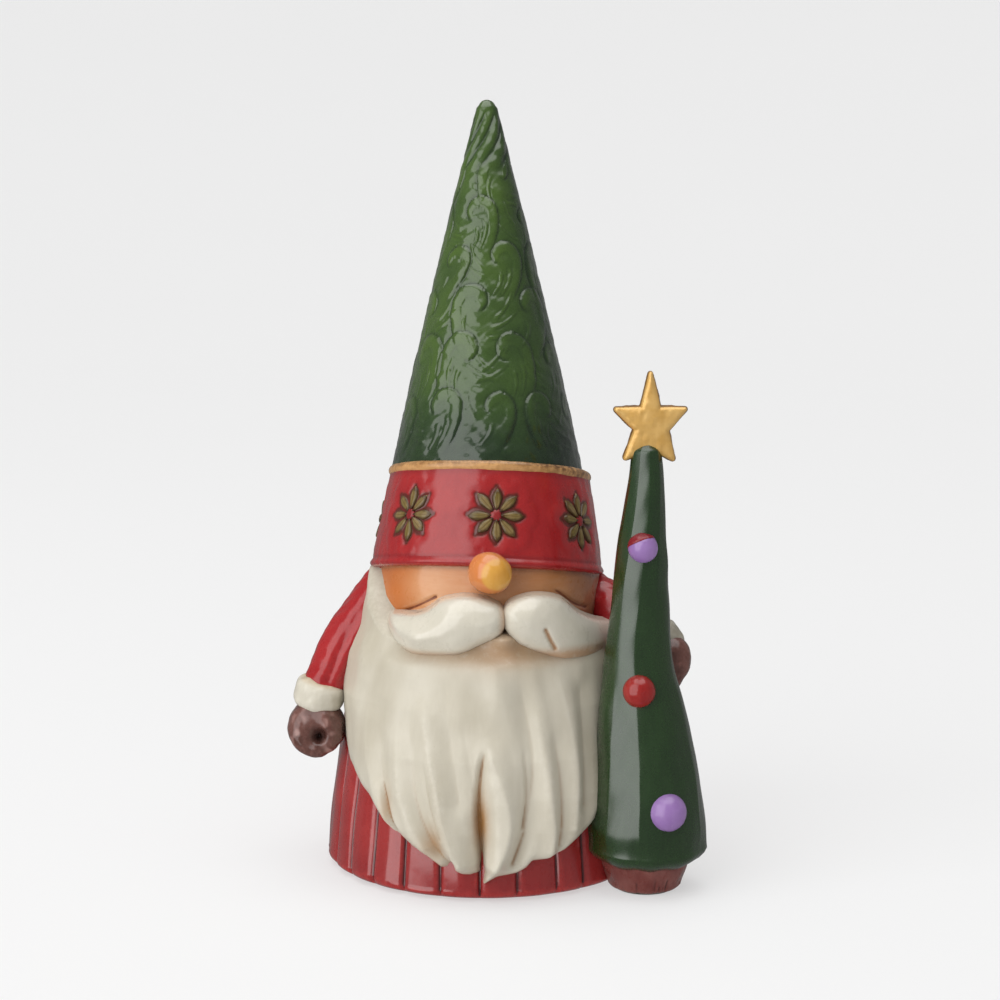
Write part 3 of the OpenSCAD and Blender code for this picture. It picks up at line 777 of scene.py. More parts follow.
def lobe(q, outline, swell, reach, crest, sharp):
    """Distance to half of the moustache: a plump leaf laid over the beard, with a crest along it.

    It rises by swell within reach of its outline, and sharp is the height of the crest.
    """
    x, z = q[:, :1, :, 0], q[:, :1, :, 2]
    inside = outline_distance(x, z, outline)
    share = np.clip(inside / reach, 0, 1)
    bed_r, thickness = 25.2, 5
    bed = -np.sqrt(np.clip(bed_r ** 2 - (x - BEARD_X) ** 2, 4, None))
    puff = swell * swollen(share, 2.2)
    gap, part, side = along(x, z, rounded(crest))
    ends = smooth(0, 0.2, part) * smooth(1, 0.8, part)
    ridge = sharp * ends * np.exp(-gap / 2.4) * share
    dip = 0.35 * sharp * ends * smooth(0, 3, gap) * (side > 0) * share
    puff = puff + ridge - dip
    front = bed - puff + 0.08 * waves(q[:, :1, :], 7, 31) + 0.03 * waves(q[:, :1, :], 2.4, 32)
    return np.maximum(np.maximum(front - q[..., 1], q[..., 1] - bed - thickness), -inside)


def moustache_right():
    outline = [(-19.1, 50.6), (-18.6, 52.0), (-17.6, 52.5), (-13.5, 52.9), (-11.4, 53.7), (-9.8, 55.0),
               (-8.3, 56.2), (-5, 57.0), (-1.9, 57.0), (0.4, 56.4), (2.6, 55.4), (3.9, 53.9), (3.9, 51.4),
               (2.6, 49.4), (-0.8, 48.0), (-3.8, 46.4), (-6.1, 45.7), (-9.8, 45.4), (-13.6, 45.1),
               (-15.5, 45.8), (-17.1, 47.0), (-18.3, 48.6)]
    outline = rounded(outline + outline[:1], 1)[1:-1]
    crest = [(-6.6, 57.0), (-7.2, 53.9), (-9.6, 51.4), (-12.6, 50.0), (-16.0, 49.6)]

    def form(q):
        return lobe(q, outline, 4.4, 5.2, crest[::-1], 1.7)
    points, faces = carve(form, (-21.5, -32.5, 43.5), (5, -12, 59.5), 0.24)
    x, z = points[:, 0], points[:, 2]
    under = smooth(47.5, 45.4, z) + 0.5 * smooth(-17, -19, x) + 0.9 * smooth(2.0, 3.4, x)
    piece("moustache_right_carved", (points, faces), MOUSTACHE_CREAM, ["moustache_right"],
          {"stain_and_shade": np.clip(under, 0, 1) * 0.6}, spread=20)


def moustache_left():
    outline = [(3.2, 52.4), (3.2, 54.4), (4.0, 55.7), (6.1, 56.6), (8.5, 57.1), (11.2, 56.9), (13.9, 56.1),
               (15.5, 54.8), (17.0, 53.2), (18.8, 51.9), (22, 50.2), (26, 48.8), (26.5, 43.8), (22, 43.0),
               (17.4, 43.4), (14.3, 44.0), (10.9, 45.6), (8.2, 46.9), (5.4, 48.4), (3.6, 50.6)]
    outline = rounded(outline + outline[:1], 1)[1:-1]
    crest = [(6.4, 55.8), (11.0, 54.6), (16.0, 51.6), (21.0, 49.2)]
    nick = [(11.2, 51.0), (11.9, 49.4), (13.0, 47.2)]

    def form(q):
        slit = along(q[:, :1, :, 0], q[:, :1, :, 2], nick)[0]
        return lobe(q, outline, 4.4, 5.4, crest, 0.5) + 0.9 * bell(slit, 0.36)
    points, faces = carve(form, (2.2, -32.5, 42.5), (28, -6, 59.5), 0.24)
    under = smooth(48, 45.6, points[:, 2]) + 1.3 * bell(along(points[:, 0], points[:, 2], nick)[0], 0.32)
    piece("moustache_left_carved", (points, faces), MOUSTACHE_CREAM, ["moustache_left"],
          {"stain_and_shade": np.clip(under, 0, 1) * 0.7}, spread=20)


# ---------------------------------------------------------------- hat band with its flowers

FLOWERS, PETALS = 7, 8
FLOWER_T, FLOWER_TURN = 10.0, math.radians(3.8)
PETAL_L, PETAL_W = 5.5, 2.15


def petal_half_width(share):
    """Half width of a petal at a share of its length: widest past the middle, pointed at the end."""
    return PETAL_W / 2 * np.interp(share, [0.16, 0.45, 0.64, 0.85, 1.0], [0.16, 0.74, 1.0, 0.66, 0.0])


def flower_frames():
    """Direction of each flower; the last one stands a little off the even spacing, as in the photo."""
    for i in range(FLOWERS):
        yield FLOWER_TURN + i * 2 * math.pi / FLOWERS + 0.06 * (i == FLOWERS - 1)


def petal_cover(theta, t):
    """How near each place on the band is to a petal, in mm: negative inside one."""
    best = np.full(np.broadcast(theta, t).shape, 9.0)
    for turn in flower_frames():
        u, v = turned_from(theta, turn) * band_radius(t), t - FLOWER_T + 0 * theta
        reach, angle = np.hypot(u, v), np.arctan2(u, v)
        step = 2 * math.pi / PETALS
        near = (angle + step / 2) % step - step / 2
        along_petal, across = reach * np.cos(near), np.abs(reach * np.sin(near))
        half = petal_half_width(along_petal / PETAL_L)
        past_tip = np.hypot(along_petal - PETAL_L, across)
        best = np.minimum(best, np.where(along_petal < PETAL_L, across - half, past_tip))
    return best


def band():
    """The hat's turned-up rim: a tapered ring, pressed in round the petals."""
    cols, rows = 560, 84
    theta = circle(cols)
    t = np.linspace(0.9, BAND_H - 0.8, rows)[:, None]
    seam = 1.9
    radius = band_radius(t) + 0.28 * smooth(seam, 0.8, t) - 0.12 * bell(t - seam, 0.3) + 0 * theta
    rings = turned(radius, t, theta)
    radius = radius + 0.12 * waves(rings * [1, 1, 0.12], 8, 13) + 0.05 * waves(rings * [1, 1, 0.25], 3.6, 14)
    gap = petal_cover(theta, t)
    radius = radius - 0.13 * bell(gap - 0.25, 0.34) + 0.12 * smooth(0.5, 2.2, gap) * smooth(3.6, 2.2, gap)
    skin = turned(radius, t, theta)
    rounding = ((2.2, 0.0), (0.9, 0.02), (0.35, 0.28), (0.06, 0.6))
    lip = [turned(radius[0] - drop, h, theta) for drop, h in rounding]
    rounding = ((0.15, 0.45), (0.45, 0.15), (1.0, 0.0))
    shoulder = [turned(radius[-1] - drop, BAND_H - h, theta) for drop, h in rounding]
    bore_low, bore_high = turned(SOCKET_R, 0.0, theta), turned(SOCKET_R, BAND_H, theta)
    rings = np.concatenate([bore_low, *lip, skin, *shoulder, bore_high])
    count, first = len(rings), 1 + len(lip)
    stain_and_shade = np.zeros((count, cols))
    stain_and_shade[first:first + rows] = 0.85 * smooth(0.8, 0.25, gap)
    tone = np.zeros((count, cols))
    tone[first:first + rows] = 0.35 * bell(t - seam, 0.4) + 0.5 * smooth(BAND_H - 2.2, BAND_H - 0.6, t)
    faces = grid_faces(count, cols, wrap_rows=True)
    piece("band_carved", (in_band(rings.reshape(-1, 3)), faces), BAND_RED, ["hat_band"],
          {"stain_and_shade": stain_and_shade, "tone": tone}, spread=8)


def on_band(theta, t, lift):
    return turned(band_radius(t) + lift, t, theta)


def petals():
    """Small keeled leaves, each closed, raised on the band."""
    length_steps, width_steps = 13, 9
    n = length_steps * width_steps
    share = np.linspace(0.17, 1.0, length_steps)[:, None]
    side = np.linspace(-1, 1, width_steps)[None, :]
    keel = 0.16 * (1 - np.abs(side)) ** 0.7 - 0.10 * bell(side, 0.16)
    edge = np.sqrt(np.clip(1 - np.abs(side) ** 3, 0, 1)) * smooth(1.0, 0.90, share)
    lift = -0.10 + (0.34 + keel) * edge
    dark = smooth(0.72, 1.0, np.abs(side)) + 0.8 * bell(side, 0.14) + smooth(0.36, 0.2, share)
    right = [r * width_steps for r in range(length_steps)]
    end = [(length_steps - 1) * width_steps + c for c in range(1, width_steps)]
    left = [r * width_steps + width_steps - 1 for r in range(length_steps - 2, -1, -1)]
    rim = right + end + left + list(range(width_steps - 2, 0, -1))
    rng = np.random.default_rng(9)
    points, faces, tone = [], [], []
    for turn in flower_frames():
        for k in range(PETALS):
            angle = k * 2 * math.pi / PETALS + rng.uniform(-0.06, 0.06)
            size = rng.uniform(0.90, 1.03)
            reach = share * PETAL_L * size
            across = side * petal_half_width(share) * 1.02
            u = reach * math.sin(angle) + across * math.cos(angle)
            v = reach * math.cos(angle) - across * math.sin(angle)
            t = FLOWER_T + v
            theta = turn + u / band_radius(t)
            base = sum(len(p) for p in points)
            points += [on_band(theta, t, lift).reshape(-1, 3), on_band(theta, t, -0.30).reshape(-1, 3)]
            tone += [np.ravel(dark), np.ones(n)]
            for r in range(length_steps - 1):
                for c in range(width_steps - 1):
                    q = base + r * width_steps + c
                    faces.append((q, q + width_steps, q + width_steps + 1, q + 1))
                    faces.append((q + n, q + n + 1, q + n + width_steps + 1, q + n + width_steps))
            for a, b in zip(rim, rim[1:] + rim[:1]):
                faces.append((base + a, base + a + n, base + b + n, base + b))
    form = (in_band(np.concatenate(points)), faces)
    piece("flower_petals", form, FLOWER_OLIVE, ["band_flowers"],
          {"tone": np.clip(np.concatenate(tone), 0, 1)}, spread=3)


def flower_centres():
    """A slightly uneven button in the middle of each flower."""
    ring = np.linspace(0, 2 * math.pi, 20, endpoint=False)[None, :]
    rise = np.radians([-30, 0, 25, 50, 72])[:, None]
    points, faces = [], []
    for turn in flower_frames():
        start = sum(len(p) for p in points)
        wobble = 1 + 0.08 * np.sin(3 * ring + turn * 5)
        u = 1.1 * wobble * np.cos(rise) * np.sin(ring)
        t = FLOWER_T + 1.1 * wobble * np.cos(rise) * np.cos(ring)
        rings = on_band(turn + u / band_radius(t), t, 0.05 + 0.36 * np.sin(rise))
        part, part_faces = capped(rings, on_band(turn, FLOWER_T, -0.3), on_band(turn, FLOWER_T, 0.41))
        points.append(part)
        faces += [tuple(start + i for i in reversed(f)) for f in part_faces]
    piece("flower_centres_carved", (in_band(np.concatenate(points)), faces), CENTRE_RED,
          ["flower_centres"], spread=3)


def cord():
    """The rounded cord between band and cone."""
    cols, ring = 420, 16
    theta = circle(cols)
    around = np.linspace(0, 2 * math.pi, ring, endpoint=False)[:, None]
    thick = CORD_R * (1 + 0.04 * np.sin(theta * 7 + 1) + 0.02 * np.sin(theta * 23))
    radius = CONE_R + thick * np.sin(around) * 0.95
    height = BAND_H + 0.05 * np.sin(3 * theta) - thick * np.cos(around)
    rings = turned(radius, height, theta)
    faces = grid_faces(ring, cols, wrap_rows=True)
    # Darker on the left side, which is painted shade, and darker along the cord's top.
    tone = 0.8 * smooth(0.2, 1.1, theta) * smooth(2.6, 1.8, theta) + 0.6 * smooth(-0.3, 0.5, -np.cos(around))
    piece("cord", (in_band(rings.reshape(-1, 3)), faces), CORD_GOLD, ["hat_cord"],
          {"tone": np.clip(tone, 0, 1)}, spread=4)


# ---------------------------------------------------------------- hat cone with scroll relief

# One scroll of the hat: a hooked line that curls over a mound, and the fronds that spring from its back
HOOK = [
    (0.10, 0.42), (-0.22, 0.36), (-0.36, 0.72), (-0.10, 1.12), (0.36, 1.14), (0.68, 0.78), (0.74, 0.2),
    (0.60, -0.45), (0.30, -1.0),
]
FRONDS = [
    [(-0.50, 0.10), (-0.82, 0.42), (-0.98, 0.90)], [(-0.42, -0.15), (-0.86, 0.02), (-1.20, 0.42)],
    [(-0.30, -0.42), (-0.76, -0.36), (-1.22, -0.10)], [(0.30, 0.35), (0.34, -0.10), (0.12, -0.62)],
    [(0.02, 0.12), (0.06, -0.25), (-0.14, -0.66)],
]
# Rows of scrolls from the top down: height, number, direction of the first one in degrees, and size
HAT_TIERS = [
    (76.5, 3, 20, 5.6), (67.5, 5, -14, 5.8), (58.0, 6, 14, 6.6), (48.0, 7, -10, 7.0), (38.0, 9, 20, 7.0),
    (27.5, 10, 3, 6.8),
]


def engrave(u, v, raised, incised, size, mirror, lean, rng):
    """Add one scroll of a given size round (0, 0) to the raised and incised height maps."""
    c, k = math.cos(lean), math.sin(lean)
    a, b = (u * c + v * k) * mirror / size, (v * c - u * k) / size
    near = (np.abs(a) < 1.7) & (np.abs(b) < 1.8)
    a, b = a[near], b[near]
    gap, share, side = along(a, b, rounded(HOOK))
    ends = smooth(0, 0.10, share) * smooth(1, 0.72, share)
    mound = np.where(side < 0, bell(gap, 0.42), -0.25 * bell(gap, 0.2)) * ends
    raised[near] += 0.34 * mound
    incised[near] = np.maximum(incised[near], ends * bell(gap * size, 0.34 + 0.2 * share))
    for path in FRONDS:
        if rng.uniform() < 0.2:
            continue
        gap, share, _ = along(a, b, rounded(path))
        width = 0.085 * (1 - 0.7 * share)
        raised[near] += 0.20 * np.clip(1 - (gap / width) ** 2, 0, 1) * smooth(0, 0.15, share)
        groove = 0.4 * smooth(0, 0.2, share) * bell((gap - width) * size, 0.2)
        incised[near] = np.maximum(incised[near], groove)


def hat():
    """The cone, carved all over with scrolls and twisted near its tip."""
    cols, rows = 400, 240
    theta = circle(cols)
    low, high = BAND_H + 0.25, HAT_H - TIP_R
    t = (low + (high - low) * np.linspace(0, 1, rows))[:, None]
    plain = cone_radius(t) + 0 * theta
    rng = np.random.default_rng(12)
    raised, incised = np.zeros_like(plain), np.zeros_like(plain)
    for tier, (level, count, first, size) in enumerate(HAT_TIERS):
        for k in range(count):
            turn = math.radians(first) + k * 2 * math.pi / count + rng.uniform(-0.06, 0.06) * (k > 0)
            mirror = 1 if (k + tier) % 3 else -1
            engrave(turned_from(theta, turn) * plain, t - level + 0 * theta, raised, incised,
                    size * rng.uniform(0.9, 1.1), mirror, rng.uniform(-0.35, 0.35), rng)
    twist = np.cos(8 * theta - 1.14 * t)
    near_tip = smooth(HAT_H - 17, HAT_H - 13, t) * smooth(HAT_H - 2.5, HAT_H - 5, t)
    incised = np.maximum(incised * (1 - near_tip), near_tip * smooth(0.5, 0.98, twist))
    raised = raised * (1 - near_tip) - 0.20 * near_tip * twist
    fade = smooth(low, low + 1.6, t)
    place = turned(plain, t, theta)
    raised = np.clip(raised, -0.2, 0.55)
    flank = smooth(0.75, 1.25, np.abs(theta)) * smooth(2.5, 2.0, np.abs(theta))
    front = bell(theta + 0.25, 0.5)
    scrolls = fade * (1 - 0.65 * flank) * (0.65 * raised - 0.15 * incised)
    carved = scrolls + 0.12 * (1 - 0.4 * flank) * waves(place, 9, 51)
    grain = 0.09 * (1 - 0.4 * flank + 0.3 * front) * waves(place, 3.4, 52)
    grain += 0.03 * (1 + 0.7 * front) * waves(place, 1.7, 54)
    carved += grain
    skin = turned(plain + carved, t, theta)
    arc = np.radians([18, 36, 54, 72])[:, None]
    tip = turned(TIP_R * np.cos(arc) + carved[-1] * np.cos(arc), high + TIP_R * np.sin(arc), theta)
    base = low - 0.6
    foot = np.concatenate([turned(SOCKET_R, base, theta), turned(plain[0] - 0.6, base, theta)])
    rings = np.concatenate([foot, skin, tip])
    local, faces = capped(rings, (0, 0, base), (0, 0, HAT_H))
    patch = 0.5 + 0.5 * waves(place, 15, 53)
    # The tone mark lightens the cone towards its top and over raised scrolls, and less on its left side,
    # which is painted shade.
    bright = smooth(low - 4, 52, t) * (0.35 + 0.65 * patch) * (1 - 0.6 * smooth(0.25, 1.2, theta))
    tone, stain_and_shade = np.zeros(rings.shape[:2]), np.zeros(rings.shape[:2])
    first, end = len(foot), len(foot) + rows
    tone[first:end] = np.clip(bright * (0.75 + 1.2 * raised), 0, 1)
    tone[end:] = tone[end - 1]
    # Painted shade down the left side of the cone, added to the darker grooves and foot.
    shade = 0.5 * smooth(0.2, 1.2, theta) * smooth(2.7, 2.1, theta)
    stain_and_shade[first:end] = np.clip(0.42 * incised * fade + 0.65 * smooth(low + 15, low, t) + shade, 0, 1)
    piece("hat", (in_hat(local), faces), HAT_GREEN, ["hat_cone"],
          {"tone": tone, "stain_and_shade": stain_and_shade}, spread=10)


# ---------------------------------------------------------------- arms

CUFF_H, CUFF_R = 6.2, 4.95
CUFF_RIGHT, CUFF_RIGHT_TURN = np.array([-32.9, -8.0, 34.7]), (6, 13)
CUFF_LEFT, CUFF_LEFT_TURN = np.array([33.6, -9.2, 45.0]), (10, -38)


def cuff_axes(turn):
    """Axes of a cuff as columns, from its turns about x and y in degrees."""
    about_x, about_y = (math.radians(a) for a in turn)
    return np.array(Matrix.Rotation(about_y, 3, "Y") @ Matrix.Rotation(about_x, 3, "X"))


def cuff(node, at, turn, seed, shade=0.0):
    """A rounded ring at the wrist; shade darkens the one behind the tree."""
    axes = cuff_axes(turn)

    def form(q):
        local = (q - at) @ axes
        flat = np.hypot(local[..., 0], local[..., 1])
        soft = 2.0
        a = flat - CUFF_R + soft
        b = np.abs(local[..., 2]) - CUFF_H / 2 + soft
        ring = np.hypot(np.maximum(a, 0), np.maximum(b, 0)) + np.minimum(np.maximum(a, b), 0) - soft
        return ring + 0.14 * waves(q, 4, seed) + 0.05 * waves(q, 1.6, seed + 1)
    points, faces = carve(form, at - 6.6, at + 6.6, 0.22)
    local = (points - at) @ axes
    stain_and_shade = 0.7 * smooth(2.2, 3.1, np.abs(local[:, 2]))
    piece(node + "_carved", (points, faces), CUFF_CREAM, [node],
          {"stain_and_shade": stain_and_shade, "tone": shade + 0 * stain_and_shade}, spread=20)


def sleeve(node, balls, folds, at, turn, low, high):
    """An arm of blended balls with folds cut in, ended square inside its cuff."""
    axes = cuff_axes(turn)

    def form(q):
        arm = chain(q, balls)
        for path, depth in folds:
            arm = cut(arm, chain(q, path), depth)
        local = (q - at) @ axes
        arm = np.maximum(arm, CUFF_H / 2 - 1.4 - local[..., 2])
        return arm + 0.18 * waves(q, 6, 61) + 0.09 * waves(q, 2.8, 62)
    piece(node + "_carved", carve(form, low, high, 0.26), SLEEVE_RED, [node], spread=16)


def sleeves():
    """Both arms with their cuffs; the right one hangs free and the left one goes round the tree."""
    right = [(-17.6, 0.4, 55.4, 6.3), (-26.9, -4.0, 44.8, 5.7), (-31.7, -7.4, 36.6, 4.3)]
    right_folds = [([(-24.6, -8.2, 52.0, 0.1), (-28.2, -9.9, 45.0, 0.5), (-31.0, -11.6, 38.0, 0.2)], 1.4),
                   ([(-21.6, -8.2, 50.6, 0.1), (-24.8, -9.6, 44.0, 0.4), (-28.0, -10.6, 38.0, 0.1)], 1.2)]
    sleeve("sleeve_right", right, right_folds, CUFF_RIGHT, CUFF_RIGHT_TURN,
           (-38.5, -15, 34), (-13, 7.5, 60.5))
    left = [(17.2, 3.4, 54.0, 5.6), (22.8, -0.8, 51.0, 5.4), (28.2, -5.6, 48.6, 4.9), (31.6, -8.0, 47.2, 4.4)]
    sleeve("sleeve_left", left, [], CUFF_LEFT, CUFF_LEFT_TURN, (12, -14, 40), (38, 7.5, 60.5))
    cuff("cuff_right", CUFF_RIGHT, CUFF_RIGHT_TURN, 71)
    cuff("cuff_left", CUFF_LEFT, CUFF_LEFT_TURN, 73, 0.8)


def mitten_right():
    """A fist with thumb and fingers round a small hole."""
    thumb = [(-35.4, -10.2, 31.0, 1.4), (-37.0, -11.2, 28.6, 1.9), (-36.4, -11.9, 25.8, 1.8),
             (-34.0, -12.3, 24.6, 1.6)]
    fingers = [(-31.6, -11.6, 30.6, 1.3), (-30.4, -11.8, 28.6, 1.8), (-30.4, -12.0, 26.0, 1.9),
               (-32.4, -12.3, 24.7, 1.6)]
    crease = [(-34.2, -14.4, 31.6, 0.1), (-33.4, -14.0, 29.6, 0.6), (-32.7, -13.6, 27.4, 1.4)]
    hollow = [(-32.7, -15.2, 27.1, 0.7), (-32.7, -11.8, 27.0, 0.4)]

    def form(q):
        fist = egg(q, (-33.4, -8.6, 28.2), (5.75, 4.9, 5.6))
        for part in (thumb, fingers):
            fist = join(fist, chain(q, part), 1.6)
        fist = cut(fist, chain(q, crease), 0.9)
        fist = cut(fist, chain(q, hollow), 0.5)
        return fist + 0.09 * waves(q, 3.5, 81) + 0.03 * waves(q, 1.3, 82)
    points, faces = carve(form, (-40.5, -16.5, 20.5), (-26.5, -2, 34.5), 0.18)
    # Painted shade: near black round the fist's hollow.
    stain_and_shade = bell(np.linalg.norm(points - [-32.7, -12.4, 27.1], axis=1), 1.7)
    x = points[:, 0]
    # Painted highlights: lighter patches down the thumb and along the fingers, on the front only.
    painted_highlights = smooth(0.1, 0.7, waves(points, 3.4, 85)) * (bell(x + 36.6, 1.8) + bell(x + 30.6, 1.1))
    piece("mitten_right_carved", (points, faces), MITTEN_BROWN, ["mitten_right"],
          {"stain_and_shade": stain_and_shade, "tone": np.clip(0.8 * painted_highlights * smooth(-9, -12, points[:, 1]), 0, 1)}, spread=20)


def mitten_left():
    """The left hand, mostly behind the tree."""
    fingers = [(37.2, -12.4, 44.0, 2.0), (37.4, -13.8, 41.0, 2.1), (35.6, -14.4, 38.6, 1.7)]
    thumb = [(33.6, -14.0, 38.0, 1.8), (35.6, -13.8, 38.6, 1.8)]

    def form(q):
        hand = egg(q, (35.0, -11.0, 42.4), (4.9, 4.8, 4.9))
        hand = join(hand, chain(q, fingers), 1.3)
        hand = join(hand, chain(q, thumb), 1.2)
        return hand + 0.08 * waves(q, 3, 91) + 0.03 * waves(q, 1.3, 92)
    piece("mitten_left_carved", carve(form, (28.5, -18.5, 34), (42, -4.5, 49.5), 0.22), MITTEN_BROWN,
          ["mitten_left"], spread=20)


# ---------------------------------------------------------------- tree

def tree_shift(z):
    """The trunk bows a little to one side at mid height."""
    return 0.3 - 1.8 * bell(z - 48, 17) - 0.7 * smooth(52, 68, z) + 0.1 * smooth(72, 83, z)


def tree():
    """A smooth cone with soft knife facets and a scalloped, rounded skirt."""
    cols, rows = 320, 210
    theta = circle(cols)
    edge = SKIRT_Z - 1.4
    z = np.linspace(edge, TREE_TOP - 0.4, rows)[:, None]
    plain = tree_radius(z) - 0.5 * smooth(SKIRT_Z + 3.5, edge, z) + 0 * theta
    plain = plain * (1 - 0.55 * smooth(TREE_TOP - 3.6, TREE_TOP - 1.4, z))
    facets = 10
    drift = theta + 0.50 - 0.34 * smooth(45, 80, z)
    wedge = (drift * facets / (2 * math.pi) + 0.5) % 1 - 0.5
    flat = np.cos(math.pi / facets) / np.cos(wedge * 2 * math.pi / facets)
    facet_share = 0.7 * smooth(SKIRT_Z - 2, 14, z) - 0.45 * smooth(16, 32, z) + 0.4 * smooth(55, 72, z)
    radius = plain * (1 + facet_share * (flat - 0.965))
    place = turned(plain, z, theta)
    scallop = np.cos(theta * 9 + 0.6 * np.sin(theta * 3))
    radius = radius + 0.10 * scallop * smooth(17, SKIRT_Z, z) + 0.20 * waves(place * [1, 1, 0.5], 9, 101)
    radius = radius + 0.035 * waves(place * [1, 1, 0.4], 3, 102) + 0.09 * waves(place * [1, 1, 0.6], 5.5, 103)
    skin = turned(radius, z, theta)
    under = []
    for share, drop in ((0.97, 0.75), (0.90, 1.6), (0.82, 2.2), (0.76, 2.6)):
        under.append(turned(radius[0] * share, edge - drop + 0.5 * scallop * (share - 1), theta))
    rings = np.concatenate([*reversed(under), skin])
    rings[..., 0] += tree_shift(rings[..., 2])
    rings = rings + [TREE_AT[0], TREE_AT[1], 0]
    top = (TREE_AT[0] + 0.3, TREE_AT[1], TREE_TOP)
    points, faces = capped(rings, (TREE_AT[0] + 0.5, TREE_AT[1], SKIRT_LOW), top)
    tone = np.zeros(rings.shape[:2])
    tone[len(under):] = smooth(0.2, 1.5, theta) * 0.7 * smooth(12, 40, z)
    piece("tree", (points, faces), TREE_GREEN, ["tree_cone"], {"tone": tone}, spread=10)


def pot():
    """The trunk's foot, scored upwards like bark, with a recess for its felt pad."""
    cols, rows = 220, 34
    theta = circle(cols)
    low, high = 0.4, SKIRT_LOW + 1.6
    pad_r, pad_top = 5.7, 1.3
    z = np.linspace(low + 0.6, high, rows)[:, None]
    plain = 6.9 + 1.6 * smooth(0, SKIRT_LOW + 1, z) + 0 * theta
    rng = np.random.default_rng(15)
    bark = np.zeros_like(plain)
    for angle in rng.uniform(-math.pi, math.pi, 34):
        reach = rng.uniform(2.2, 4.2)
        off = turned_from(theta, angle)
        bark -= rng.uniform(0.12, 0.34) * bell(off * plain, 0.22) * smooth(reach, reach - 1.6, z)
    place = turned(plain, z, theta)
    skin = turned(plain + bark + 0.12 * waves(place, 4, 112), z, theta)
    drop, lift = np.array([[0.45], [0.12]]), np.array([[0.0], [0.25]])
    hem = turned(plain[0] - 0.15 + bark[0] - drop, low + lift, theta)
    recess = np.concatenate([turned(pad_r, h, theta) for h in (pad_top, low)])
    rings = np.concatenate([recess, hem, skin]) + [TREE_AT[0], TREE_AT[1], 0]
    form = capped(rings, (TREE_AT[0], TREE_AT[1], pad_top), (TREE_AT[0], TREE_AT[1], high))
    piece("pot", form, POT_BROWN, ["tree_pot"], spread=6)


# Middle lines of the star's edge roll, as (x, z) from its middle
STAR_POINTS = [
    (-0.1, 8.95), (1.45, 2.4), (6.3, 2.35), (2.95, -1.55), (4.15, -6.9), (-0.1, -4.7), (-4.65, -6.8),
    (-2.8, -1.4), (-6.45, 2.3), (-1.65, 2.4),
]
STAR_ROLL = 0.6


def star():
    """A five-pointed star, puffed up on both faces, with a rounded edge."""
    ring = [(STAR_AT[0] + x, STAR_AT[2] + z) for x, z in STAR_POINTS]

    def form(q):
        inside = outline_distance(q[:, :1, :, 0], q[:, :1, :, 2], ring) + STAR_ROLL
        middle = np.hypot(q[:, :1, :, 0] - STAR_AT[0], q[:, :1, :, 2] - STAR_AT[2])
        share = np.clip(inside / 1.25, 0, 1)
        puff = 0.5 + 1.1 * swollen(share) + 0.5 * bell(middle, 4.5)
        solid = -join(inside, puff - np.abs(q[..., 1] - STAR_AT[1]), 0.5)
        return solid + 0.10 * waves(q, 2.6, 121) + 0.04 * waves(q, 1.2, 122)
    low = (STAR_AT[0] - 8.0, STAR_AT[1] - 3.0, STAR_AT[2] - STAR_REACH)
    high = (STAR_AT[0] + 8.0, STAR_AT[1] + 3.0, STAR_AT[2] + 10.6)
    points, faces = carve(form, low, high, 0.15)
    rim = outline_distance(points[:, 0], points[:, 2], ring)
    stain_and_shade = 0.9 * smooth(-0.30, -0.55, rim)
    piece("star", (points, faces), STAR_GOLD, ["tree_star"], {"stain_and_shade": stain_and_shade}, spread=20)


def bead(name, centre, radius, material, nodes, seed, form_cut=None):
    centre = np.array(centre)

    def form(q):
        ball = np.linalg.norm(q - centre, axis=-1) - radius + 0.03 * waves(q, 2, seed)
        return ball if form_cut is None else np.maximum(ball, form_cut(q))
    piece(name, carve(form, centre - radius - 0.6, centre + radius + 0.6, radius / 17), material, nodes)


def beads():
    """The tree's red ball and two purple ones, the upper of which wears a crimson cap."""
    (x0, y0, z0), (x1, _, z1) = mm_box("red_ball")
    radius = (x1 - x0) / 2
    bead("ball_red_carved", ((x0 + x1) / 2, y0 + radius, (z0 + z1) / 2), radius, BALL_RED,
         ["red_ball"], 131)
    low, high = mm_box("purple_balls")
    radius = 3.7
    bead("ball_purple_low", (high[0] - radius, low[1] + radius, low[2] + radius), radius, BALL_PURPLE,
         ["purple_balls"], 132)
    low, high = mm_box("ball_cap")
    radius = 2.8
    at = np.array([(low[0] + high[0]) / 2, low[1] + radius + 0.1, high[2] - radius - 0.15])
    tilt = np.array([-0.35, 0.30, 0.89])
    bead("ball_purple_high", at, radius, BALL_PURPLE, ["purple_balls"], 133)
    bead("ball_cap_carved", at, radius + 0.16, CAP_CRIMSON, ["ball_cap"], 134,
         lambda q: 1.0 - (q - at) @ tilt)


# ---------------------------------------------------------------- stage, light and camera

def inner_parts():
    """CAD nodes that stay, each with its own finish."""
    pad = felt()
    resin = bare("bare_resin", (0.5, 5, 0.7), (206, 198, 184), (226, 220, 208), (0.6, 0.85), (0.5, 0.08))
    wood = bare("dowel_wood", (0.6, 5, 0.6, (1, 1, 12)), (176, 138, 92), (214, 182, 138), (0.55, 0.75),
                (0.4, 0.05))
    steel = bare("pin_steel", (0.3, 4, 0.6, (1, 1, 15)), (150, 150, 150), (200, 200, 200), (0.25, 0.45),
                 (0.3, 0.02), metal=1.0)
    finishes = {
        "base_felt": pad, "pot_felt": pad, "base_plate": resin, "neck_dowel": wood, "tree_dowel": wood,
        "star_pin": steel, "shoulder_pins": steel, "wrist_pins": steel,
    }
    for node, material in finishes.items():
        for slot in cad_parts[node].material_slots:
            slot.material = material


